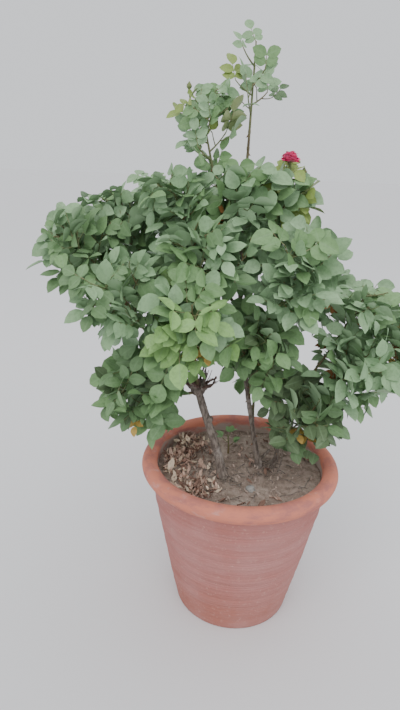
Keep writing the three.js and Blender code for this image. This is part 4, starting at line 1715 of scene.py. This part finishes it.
    def grow_mass(self, index: int) -> int:
        """Grows one mass: its shoots, then leaves on them, the largest first.

        Args:
            index: The mass.

        Returns:
            How many leaflets it has.
        """
        mass = MASSES[index]
        dice = Dice(977 + 131 * index)
        limbs = self.near_bars(index)
        shoots = self.shoots_of(index, dice)
        lines: list[Array] = []
        for points, _ in (shoot.line() for shoot in shoots):
            lines.extend(np.stack([points[:-1], points[1:]], axis=1))
        nodes = [n for shoot in shoots for n in self.nodes_along(index, shoot, dice)]
        nodes.sort(key=lambda n: n.rank)
        tints = [dice.pick(mass.palette.value) for _ in range(len(shoots) + 1)]
        kept = 0
        for size in self.sizes:
            for node in nodes[:]:
                if kept >= mass.leaflets:
                    break
                old = node.vigour < self.old_leaves and node.share < 0.75
                length = mass.leaf_size * size * (0.62 + 0.46 * node.vigour) * (0.7 if old else 1)
                fitting = self.fitting_leaf(index, node, length, limbs, np.array(lines))
                fits = fitting[-1]
                if fits.sum() < 2:
                    continue
                nodes.remove(node)
                spray = node.shoot.spray
                tint = tints[spray] if dice.next() < self.spray_tint else dice.pick(mass.palette.value)
                if old:
                    tint = dice.pick((Tint.YELLOWED, Tint.RUSTY))
                lines.append(self.keep_leaf(node.base, fitting, tint, dice))
                node.shoot.used = max(node.shoot.used, node.share)
                kept += int(fits.sum())
        for shoot in reversed(shoots):
            if shoot.used > 0 and shoot.r0 > 0:
                self.twigs.put(*shoot.line(min(shoot.used + 0.02, 1.0)))
                if shoot.parent is not None:
                    shoot.parent.used = max(shoot.parent.used, shoot.share)
        return kept

    @staticmethod
    def leaflet_shapes() -> list[Object]:
        """Four leaflets with a toothed edge, folded, drooping and curled by different amounts.

        Returns:
            The leaflets, one unit long.
        """
        shapes = []
        rows = (0.0, 0.06, 0.16, 0.29, 0.43, 0.57, 0.7, 0.82, 0.92, 1.0)
        width = (0.015, 0.14, 0.255, 0.33, 0.355, 0.335, 0.28, 0.19, 0.09, 0.0)
        bends = [(0.22, 0.1, 0.05), (0.1, 0.2, -0.12), (0.36, 0.05, 0.1), (0.16, 0.3, -0.05)]
        for number, (fold, droop, curl) in enumerate(bends):
            points = []
            for i, (u, w) in enumerate(zip(rows, width)):
                for across in (-1.0, -0.55, 0.0, 0.55, 1.0):
                    edge = abs(across) == 1
                    y = across * w * ((1.02 if i % 2 else 0.97) if edge else 1.0)
                    x = u + (0.012 if edge and i % 2 and i < 9 else 0.0)
                    rise = fold * abs(y) + curl * y * y / 0.16 * 0.4
                    z = rise - droop * u * u + 0.012 * math.sin(9 * u + number) * abs(across)
                    points.append((x, y, z))
            faces = grid_faces(len(rows), 5)
            shapes.append(mesh_piece(f"leaflet_{number}", np.array(points) * 1000, faces))
            give(shapes[-1].data, "midrib", "FLOAT", (0, 0, 1, 0, 0) * len(rows))
        return shapes

    def build(self) -> None:
        """Grows every mass and builds its twigs, stalks and leaves."""
        for index, mass in enumerate(MASSES):
            LOG.info("%s: %d leaflets", mass.name, self.grow_mass(index))
        dress(self.twigs.grow("twigs", 6, TWIG.material()), MASS_NODES)
        dress(self.stalks.grow("leaf_stalks", 4, STALK.material()), MASS_NODES)
        shapes = collection_of("leaflets", self.leaflet_shapes())
        for tint, placings in self.leaflets.items():
            piece = placings.grow("leaves_" + tint.name.lower(), shapes, tint.value.material())
            dress(piece, MASS_NODES)


# Blooms


@dataclass
class Blooms:
    """The bloom and the buds at the ends of their stalks."""

    bloom: Triple = (47, 18, 816)
    bloom_radius: float = 15.0
    buds: tuple[tuple[Triple, float], ...] = (((70, 14, 792), 5.5), ((-112, 22, 908), 4.3))
    petals: int = 36
    sepal_points: tuple[Triple, ...] = (
        (0, 0.14, 0), (0, -0.14, 0), (0.3, 0.2, -0.05), (0.3, 0, -0.1), (0.3, -0.2, -0.05),
        (0.7, 0.1, 0.03), (0.7, -0.1, 0.03), (1.1, 0, 0.16),
    )
    sepal_faces: tuple[tuple[int, int, int], ...] = (
        (0, 1, 3), (0, 3, 2), (1, 4, 3), (2, 3, 5), (3, 4, 6), (3, 6, 5), (5, 6, 7),
    )
    bud_shape: tuple[float, ...] = (0.35, 0.7, 0.9, 0.95, 0.86, 0.7, 0.5, 0.3, 0.08)

    def petal_shape(self) -> Object:
        """One cupped petal with a rolled edge, its foot at the origin.

        Returns:
            The petal.
        """
        points = []
        for u in (i / 5 for i in range(6)):
            half = 0.12 + 0.5 * math.sin(math.pi * min(0.08 + 0.74 * u, 1.0))
            half *= 1.0 if u < 0.85 else 0.86
            roll = -0.28 * max(0.0, u - 0.62) ** 1.4 * 3
            for v in (j / 3 - 1 for j in range(7)):
                points.append((u * (1 - 0.1 * v * v), v * half, 0.42 * v * v * half + roll + 0.1 * u))
        return mesh_piece("petal_shape", np.array(points) * 1000, grid_faces(6, 7))

    def build(self) -> None:
        """Builds the bloom, then the stalks that hold it and the buds."""
        foot = np.array(self.bloom) - (0, 0, 0.7 * self.bloom_radius)
        self.build_petals(foot)
        self.build_stalks(foot)

    def build_petals(self, foot: Array) -> None:
        """Builds the petals, which lean further out the later they come.

        Args:
            foot: Where they meet.
        """
        pink = LeafFinish("petal", 0.55, upper=(0.85, 0.055, 0.25), under=(0.88, 0.17, 0.37))
        placings, dice = Placings(), Dice(29)
        for i in range(self.petals):
            share = i / (self.petals - 1)
            out = around(i * GOLDEN_TURN + dice.spread(0.3))
            lean = 0.08 + 1.3 * share + dice.spread(0.2)
            along = out * math.sin(lean) + UP * math.cos(lean)
            size = self.bloom_radius * (1.16 - 0.2 * share + dice.spread(0.12))
            placings.put(foot + out * 1.2, along, UP * math.sin(lean) - out * math.cos(lean), size)
        pieces = collection_of("petals", [self.petal_shape()])
        dress(placings.grow("bloom_petals", pieces, pink.material()))

    def build_stalks(self, foot: Array) -> None:
        """Builds the stalks with their hips, sepals and buds.

        Args:
            foot: Where the bloom's petals meet.
        """
        green = LeafFinish("sepal", 0.55, upper=(0.17, 0.22, 0.08), under=(0.25, 0.2, 0.1))
        stalks, sepals = Lines(), Placings()
        heads = [(foot, self.bloom_radius * 0.45, (8.0, -6.0, -72.0))]
        heads += [(np.array(at) - (0, 0, r), r, (-2.0, 4.0, -46.0)) for at, r in self.buds]
        t = np.linspace(1, 0, 8)[:, None]
        for head, size, drop in heads:
            line = head + t * drop + np.sin(math.pi * t) * (3.0, 0.0, 0.0)
            stalks.put([*line, head + (0, 0, size * 0.5)], [1.1] * 6 + [1.3, size * 0.42, size * 0.3])
            for out in (around(i * math.tau / 5) for i in range(5)):
                along = out * 0.9 + UP * (0.5 if size > 6 else 1.6)
                sepals.put(head + out * size * 0.3, along, UP - 0.5 * out, size * 1.9)
        for at, r in self.buds:
            line = np.array(at) + np.linspace(-1, 1.5, 9)[:, None] * UP * r
            stalks.put(line, [r * f for f in self.bud_shape])
        dress(stalks.grow("bloom_stalks", 10, green.material()))
        sepal = mesh_piece("sepal_shape", np.array(self.sepal_points) * 1000, self.sepal_faces)
        pieces = collection_of("sepals", [sepal])
        dress(sepals.grow("bloom_sepals", pieces, green.material()))


# Pot and soil


@dataclass
class Pot:
    """The thrown clay pot: a tapered wall under a thick rolled lip, with three drain holes."""

    height: float = 300.0
    rim_radius: float = 178.0
    lip_radius: float = 14.0
    base_radius: float = 108.0
    shoulder_radius: float = 161.0
    wall: float = 11.0
    floor: float = 16.0
    drain_radius: float = 8.0
    drain_circle: float = 46.0
    ring_pitch: float = 19.0
    sides: int = 180

    @property
    def shoulder(self) -> float:
        """Height at which the wall meets the lip."""
        return self.height - 2 * self.lip_radius

    def inner_radius(self, z: float) -> float:
        """Radius of the inner wall at a height."""
        share = min(z / self.shoulder, 1)
        return self.base_radius + (self.shoulder_radius - self.base_radius) * share - self.wall

    def profile(self) -> Array:
        """The pot's outline, from the axis underneath to the axis inside.

        Returns:
            Radius and height of each point.
        """
        shoulder = self.shoulder
        rows = [(r, 0.0) for r in (0.0, 30.0, 60.0, self.base_radius - 3)]
        rows += [(self.base_radius - 0.9, 0.9), (self.base_radius, 3.0)]
        for z in np.linspace(3, shoulder - 4, 150)[1:]:
            share = (z - 3) / (shoulder - 7)
            ripple = 0.38 * math.sin(z * 1.1) + 0.26 * math.sin(z * 1.9 + 1) + 0.4 * math.sin(z * 0.21)
            radius = self.base_radius + (self.shoulder_radius - self.base_radius) * share
            groove = 0.7 * max(0.0, math.sin(math.tau * z / self.ring_pitch)) ** 14
            depth = (ripple - groove) * min(1, share * 6, (1 - share) * 9)
            rows.append((radius + math.sin(math.pi * share) + depth, float(z)))
        centre = self.rim_radius - self.lip_radius
        for i in range(15):
            angle = -math.pi / 2 + i * math.pi / 14
            x = centre + self.lip_radius * math.cos(angle)
            rows.append((x, self.height - self.lip_radius * (1 - math.sin(angle))))
        inner = self.inner_radius(shoulder)
        rows += [(inner + 5, self.height - 2.6), (inner + 1.4, self.height - 6.5)]
        rows += [(inner, self.height - 12), (inner, shoulder)]
        rows += [(self.inner_radius(float(z)), float(z)) for z in np.linspace(shoulder, self.floor, 12)[1:]]
        rows += [(60.0, self.floor), (30.0, self.floor), (0.0, self.floor)]
        return np.array(rows)

    def build(self) -> None:
        """Turns the profile, lets it wobble a little and drills the drain holes."""
        profile = self.profile()[1:-1]
        points = []
        for r, z in profile:
            for a in np.arange(self.sides) * math.tau / self.sides:
                x, y = math.cos(a), math.sin(a)
                soft = noise.noise(Vector((x * 1.3, y * 1.3, z * 0.012))) * 0.7
                hand = noise.noise(Vector((x * 5, y * 5, z * 0.09))) * 0.25
                push = (soft + hand) * min(1, z / 20)
                points.append((x * (r + push), y * (r + push), z))
        points += [(0, 0, 0), (0, 0, self.floor)]
        pot = mesh_piece("clay_pot", points, ring_faces(len(profile), self.sides))
        for i in range(3):
            place = around(i * math.tau / 3 + 0.5) * self.drain_circle + 8 * UP
            bm = bmesh.new()
            cone = dict.fromkeys(("radius1", "radius2"), self.drain_radius * MM)
            cone |= {"depth": 0.06, "matrix": Matrix.Translation(Vector(place) * MM)}
            bmesh.ops.create_cone(bm, cap_ends=True, segments=28, **cone)
            drill = from_bmesh(bm, "drill")
            cut = pot.modifiers.new("drain", "BOOLEAN")
            cut.operation, cut.object, cut.solver = "DIFFERENCE", drill, "EXACT"
            pot = evaluated(pot, "clay_pot")
            bpy.data.objects.remove(drill)
        finish = ClayFinish("clay", 0.88, grain_scale=150.0, grain_stretch=6.0, grain_grit=0.5, bump=0.35)
        dress(pot, ["pot"], finish.material())


@dataclass
class Soil:
    """The dry soil, its crumbs, fallen leaves, sticks and a stone."""

    pot: Pot
    heaps: tuple[tuple[float, float, float, float], ...] = (
        (-116, 8, 13, 24),
        (-98, 78, 9, 22),
        (-84, -88, 7, 20),
        (98, -70, 6, 18),
    )
    standing: tuple[tuple[float, float, float, float, float], ...] = (
        (70, -6, 9, -4, 62),
        (52, 18, 24, 4, 30),
        (48, 2, 22, -6, 22),
        (74, 24, -6, 10, 34),
        (26, 14, -14, -4, 20),
        (-40, -20, -16, 6, 18),
        (-24, -40, 12, -8, 14),
    )
    # The dry leaves' colour, their count, the share of them on the heaps, and the longest.
    litter_kinds: tuple[tuple[Triple, int, float, float], ...] = (
        ((0.57, 0.4, 0.32), 190, 0.8, 27.0),
        ((0.24, 0.145, 0.11), 200, 0.7, 23.0),
        ((0.76, 0.62, 0.48), 80, 0.85, 26.0),
        ((0.42, 0.33, 0.28), 360, 0.25, 11.0),
    )
    stone_place: Triple = (0.016, -0.073, 0.2752)
    rings: int = 70
    sides: int = 150

    def height(self, x: float, y: float) -> float:
        """Height of the surface: flat, with the heaps and small unevenness on it.

        Args:
            x: Place to the right of the axis.
            y: Place behind it.

        Returns:
            The height above the pot's underside.
        """
        z = SOIL_LEVEL
        for hx, hy, rise, spread in self.heaps:
            away = math.hypot(x - hx, y - hy) / spread
            if away < 1:
                z += rise * math.cos(away * math.pi / 2)
        for scale, level, size in ((0.022, 3.1, 3.2), (0.12, 7.7, 1.5), (0.5, 1.3, 0.6)):
            z += noise.noise(Vector((x * scale, y * scale, level))) * size
        return z

    def ring(self, radius: float) -> list[tuple[float, float]]:
        """Places round the axis at a radius."""
        angles = (j * math.tau / self.sides for j in range(self.sides))
        return [(radius * math.cos(a), radius * math.sin(a)) for a in angles]

    def surface(self) -> tuple[list[Triple], list[tuple[int, ...]]]:
        """The top of the soil: a point on the axis with rings round it.

        Returns:
            Its vertices and faces.
        """
        radius = self.pot.inner_radius(SOIL_LEVEL) - GAP
        points = [(0.0, 0.0, self.height(0, 0))]
        for i in range(1, self.rings + 1):
            points += [(x, y, self.height(x, y)) for x, y in self.ring(radius * i / self.rings)]
        faces: list[tuple[int, ...]] = []
        n = self.sides
        for j in range(n):
            k = (j + 1) % n
            faces.append((0, 1 + j, 1 + k))
            starts = range(1, 1 + (self.rings - 1) * n, n)
            faces += [(a + j, a + n + j, a + n + k, a + k) for a in starts]
        return points, faces

    def bed(self) -> Object:
        """The body of soil, closed down to the pot's floor.

        Returns:
            Its mesh object.
        """
        points, faces = self.surface()
        n, bottom = self.sides, self.pot.floor + GAP
        for z in np.linspace(SOIL_LEVEL - 12, bottom, 7).tolist():
            a = len(points) - n
            points += [(x, y, z) for x, y in self.ring(self.pot.inner_radius(z) - GAP)]
            faces += [(a + j, a + n + j, a + n + (j + 1) % n, a + (j + 1) % n) for j in range(n)]
        a = len(points) - n
        points.append((0.0, 0.0, bottom))
        faces += [(a + n, a + (j + 1) % n, a + j) for j in range(n)]
        return mesh_piece("soil_bed", points, faces)

    @staticmethod
    def rock(
        name: str, detail: int, radius: float, uneven: float, scale: float, flat: float, shift: float = 0
    ) -> Object:
        """A lump of stone or earth.

        Args:
            name: The object's name.
            detail: How often its faces are divided.
            radius: Its radius.
            uneven: Depth of its dents.
            scale: How close together they are.
            flat: Its height as a share of its width.
            shift: Where in the noise its dents are read.

        Returns:
            Its mesh object.
        """
        bm = bmesh.new()
        bmesh.ops.create_icosphere(bm, subdivisions=detail, radius=radius)
        for vertex in bm.verts:
            vertex.co *= 1 + uneven * noise.noise(vertex.co * scale + Vector((shift, 0, 0)))
            vertex.co.z *= flat
        return from_bmesh(bm, name)

    def litter_shapes(self) -> bpy.types.Collection:
        """Four dry leaves, curled and crumpled.

        Returns:
            Their collection.
        """
        shapes = []
        bends = [(1.2, 2.0, 0.24), (2.4, 5.0, 0.17), (0.7, 6.0, 0.2), (1.6, 3.0, 0.13)]
        for number, (bend, roll, width) in enumerate(bends):
            points = []
            for u in np.linspace(0, 1, 7):
                half = width * math.sin(math.pi * min(0.06 + 0.9 * u, 1.0)) ** 0.8
                for v in np.linspace(-1, 1, 5):
                    across = v * half
                    z = (1 - math.cos(bend * u)) / bend + (1 - math.cos(roll * across)) / roll
                    z += 0.07 * math.sin(9 * u + 4 * v + number * 2)
                    points.append((math.sin(bend * u) / bend, math.sin(roll * across) / roll, z))
            shapes.append(mesh_piece(f"dry_leaf_{number}", np.array(points) * 1000, grid_faces(7, 5)))
        return collection_of("dry_leaves", shapes)

    def litter(self, seed: int, count: int, heaped: float, longest: float) -> Placings:
        """Where fallen leaves lie: some on the heaps, some between them.

        Args:
            seed: Start of its numbers.
            count: How many.
            heaped: Share of them on the heaps.
            longest: Length of the longest.

        Returns:
            Their places.
        """
        dice, placings = Dice(seed), Placings()
        most = self.pot.inner_radius(SOIL_LEVEL) - 12
        while len(placings.rows) < count:
            if dice.next() < heaped:
                hx, hy, _, spread = dice.pick(self.heaps[:3])
                x = hx + dice.spread(1) * (0.3 + dice.next()) * spread * 1.6
                y = hy + dice.spread(1) * (0.3 + dice.next()) * spread * 2.2
            else:
                x, y = dice.spread(most), dice.spread(most)
                if heaped > 0.5 and x > -30 and dice.next() < 0.75:
                    continue
            if math.hypot(x, y) > most:
                continue
            place = np.array([x, y, self.height(x, y) + 0.6 + 4.0 * dice.next() ** 2])
            along = around(dice.next() * math.tau) + dice.spread(0.35) * UP
            face = np.array([dice.spread(1.0), dice.spread(1.0), 1 if dice.next() < 0.7 else -1])
            size = longest * (0.4 + 0.6 * dice.next())
            placings.put(place, along, face, size, dice.pick(range(4)))
        return placings

    def sticks(self) -> Lines:
        """Short dry twigs that lie on the soil or stand in it.

        Returns:
            Their lines.
        """
        dice, lines = Dice(611), Lines()
        shares = np.linspace(0, 1, 6)
        ends = [((60, -92), (104, -76)), ((112, -58), (134, -14)), ((-30, -96), (6, -112))]
        for i in range(110):
            x, y = dice.spread(105), dice.spread(105)
            if i < 60:
                x, y = dice.pick(((-70, -10), (-28, -34), (38, -2), (60, -14)))
                x, y = x + dice.spread(30), y + dice.spread(28)
            turn, reach = dice.next() * math.tau, 6 + 20 * dice.next()
            ends.append(((x, y), (x + reach * math.cos(turn), y + reach * math.sin(turn))))
        for (x0, y0), (x1, y1) in ends:
            bend = dice.spread(3)
            line = []
            for s in shares:
                x, y = x0 + (x1 - x0) * s + bend * math.sin(math.pi * s), y0 + (y1 - y0) * s
                line.append((x, y, self.height(x, y) + 1.2 + 1.5 * math.sin(math.pi * s)))
            lines.put(line, (0.4 + 0.8 * dice.next()) * (1 - 0.4 * shares))
        for x, y, *way in self.standing:
            foot, s = (x, y, self.height(x, y) - 3), shares[:, None]
            lines.put(foot + s * way + np.sin(5 * s) * (2.0, 1.0, 0.0), 1.5 - 0.8 * shares)
        return lines

    def build(self) -> None:
        """Builds the soil and all that lies on it."""
        earth = MottledFinish(
            "earth", 1.0, grain_scale=260.0, grain_grit=0.7, bump=0.9, depth=0.002, scale=70.0,
            low=(0.235, 0.175, 0.14), high=(0.36, 0.28, 0.235), patch=(0.44, 0.355, 0.3),
            patch_balance=0.58,
        )
        dress(self.bed(), ["soil"], earth.material())
        crumbs = [self.rock(f"crumb_{i}", 1, 1.0, 0.35, 1.7, 0.75, i * 5) for i in range(3)]
        inputs = {"Pieces": collection_of("crumbs", crumbs), "Material": earth.material()}
        inputs |= {"Density": 52000.0, "Smallest": 0.0005, "Largest": 0.0028, "Seed": 5}
        ground = mesh_piece("ground", *self.surface())
        dress(plain_copy("soil_crumbs", ground, strew(), **inputs))
        dry = self.litter_shapes()
        for number, (upper, *counts) in enumerate(self.litter_kinds):
            under = tuple(1.2 * c for c in upper)
            finish = LeafFinish(f"dry_leaf_{number}", 0.85, bump=0.6, upper=upper, under=under)
            placings = self.litter(311 + number, *counts)
            dress(placings.grow(f"litter_{number}", dry, finish.material()))
        dress(self.sticks().grow("sticks", 7, BARK.material()))
        grey = MottledFinish("stone_grey", 0.85, low=(0.22, 0.21, 0.2), high=(0.33, 0.32, 0.3), scale=120.0)
        stone = self.rock("stone", 4, 0.0085, 0.22, 130.0, 0.62)
        stone.data.transform(Matrix.Translation(self.stone_place))
        smooth_faces(stone.data)
        dress(stone, (), grey.material())


@dataclass
class Sucker:
    """The green shoot that comes up through the soil, with its few small leaves."""

    foot: Triple = (-18, 55, 269)
    tip: Triple = (-21, 55, 311)
    # Each leaf's place along the stem and the way of its stalk.
    leaves: tuple[tuple[float, Triple], ...] = ((0.4, (11, -4, 12)), (0.6, (-12, 3, 11)), (0.78, (5, 9, 10)))

    def build(self) -> None:
        """Builds its stem and leaves."""
        foot = np.array(self.foot, float)
        rise = np.array(self.tip) - foot
        lines, leaves, dice = Lines(), Placings(), Dice(77)
        s = np.linspace(0, 1, 7)[:, None]
        lines.put(foot + s * rise + np.sin(math.pi * s) * (1.5, 0.5, 0.0), 1.8 - 0.9 * s[:, 0])
        for at, out in self.leaves:
            base, way = foot + rise * at, np.array(out, float)
            end = base + way
            lines.put([base, (base + end) / 2 + (0, 0, -1), end], [0.8, 0.7, 0.5])
            for turn in (-0.9, 0.0, 0.9):
                along = unit(way) * math.cos(turn) + unit(np.cross(UP, way)) * math.sin(turn)
                face = UP + 0.3 * np.array([dice.spread(1), dice.spread(1), 0])
                leaves.put(end, along, face, 16.0, dice.pick(range(4)))
        dress(lines.grow("sucker_stem", 8, TWIG.material()), ["sucker"])
        shapes = collection_of("sucker_leaflets", Crown.leaflet_shapes())
        leaf_piece = leaves.grow("sucker_leaves", shapes, Tint.MATURE.value.material())
        dress(leaf_piece, ["sucker"])


# Studio


class Lamp(Enum):
    """The studio's kinds of light."""

    SUN = "SUN"
    AREA = "AREA"


@dataclass
class Studio:
    """The pale floor, the soft lights and the camera at the photograph's angle."""

    camera_place: Triple = (-0.080, -0.873, 0.798)
    forward: Triple = (0.0, 0.94305, -0.33265)
    right: Triple = (0.99922, 0.01318, 0.03735)
    upward: Triple = (-0.03961, 0.33239, 0.94231)
    lens: float = 27.38

    def floor(self) -> None:
        """A wide pale floor."""
        corners = np.array([(-40, -40, 0), (40, -40, 0), (40, 40, 0), (-40, 40, 0)]) * 1000.0
        floor = mesh_piece("floor", corners, [(0, 1, 2, 3)])
        material = bpy.data.materials.new("floor_pale")
        material.use_nodes = True
        sockets = {"Base Color": (0.7, 0.7, 0.715), "Roughness": 0.9}
        Graph(material.node_tree).feed(material.node_tree.nodes["Principled BSDF"], sockets)
        floor.data.materials.append(material)

    @staticmethod
    def lamp(kind: Lamp, place: Triple, power: float, colour: Triple, **settings: float) -> None:
        """A soft light that faces the bush.

        Args:
            kind: Its kind.
            place: Where it hangs, in metres.
            power: Its strength.
            colour: Its colour.
            **settings: The light's own properties.
        """
        light = bpy.data.lights.new("soft_light", kind.value)
        light.energy, light.color = power, colour
        for name, value in settings.items():
            setattr(light, name, value)
        made = link(light, "soft_light")
        made.location = place
        aim = Vector((0, 0, 0.5)) - Vector(place)
        made.rotation_euler = aim.to_track_quat("-Z", "Y").to_euler()

    def build(self) -> None:
        """Builds the floor, lights, sky and camera."""
        self.floor()
        self.lamp(Lamp.SUN, (-0.5, -1.85, 2.8), 1.5, (1.0, 0.985, 0.96), angle=math.radians(50))
        self.lamp(Lamp.AREA, (2.2, -1.2, 1.6), 12.0, (0.95, 0.97, 1.0), size=2.4)
        self.lamp(Lamp.AREA, (0.3, 0.9, 3.0), 16.0, (0.98, 0.99, 1.0), size=2.4)
        world = bpy.data.worlds.new("sky")
        world.use_nodes = True
        sockets = {"Color": (0.92, 0.94, 0.975), "Strength": 1.03}
        Graph(world.node_tree).feed(world.node_tree.nodes["Background"], sockets)
        bpy.context.scene.world = world
        camera = bpy.data.cameras.new("camera")
        camera.lens, camera.sensor_width, camera.sensor_fit = self.lens, 36.0, "AUTO"
        made = link(camera, "camera")
        columns = [self.right, self.upward, tuple(-c for c in self.forward), self.camera_place]
        made.matrix_world = Matrix([[c[i] for c in columns] for i in range(3)] + [[0, 0, 0, 1]])
        bpy.context.scene.camera = made


def main() -> None:
    """Builds the bush in its pot."""
    logging.basicConfig(level=logging.INFO, format="%(message)s")
    Studio().build()
    pot, limbs = Pot(), Limbs()
    for part in (pot, Soil(pot), Sucker(), limbs, Crown(limbs), Blooms()):
        part.build()
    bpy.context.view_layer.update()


if __name__ == "__main__":
    main()
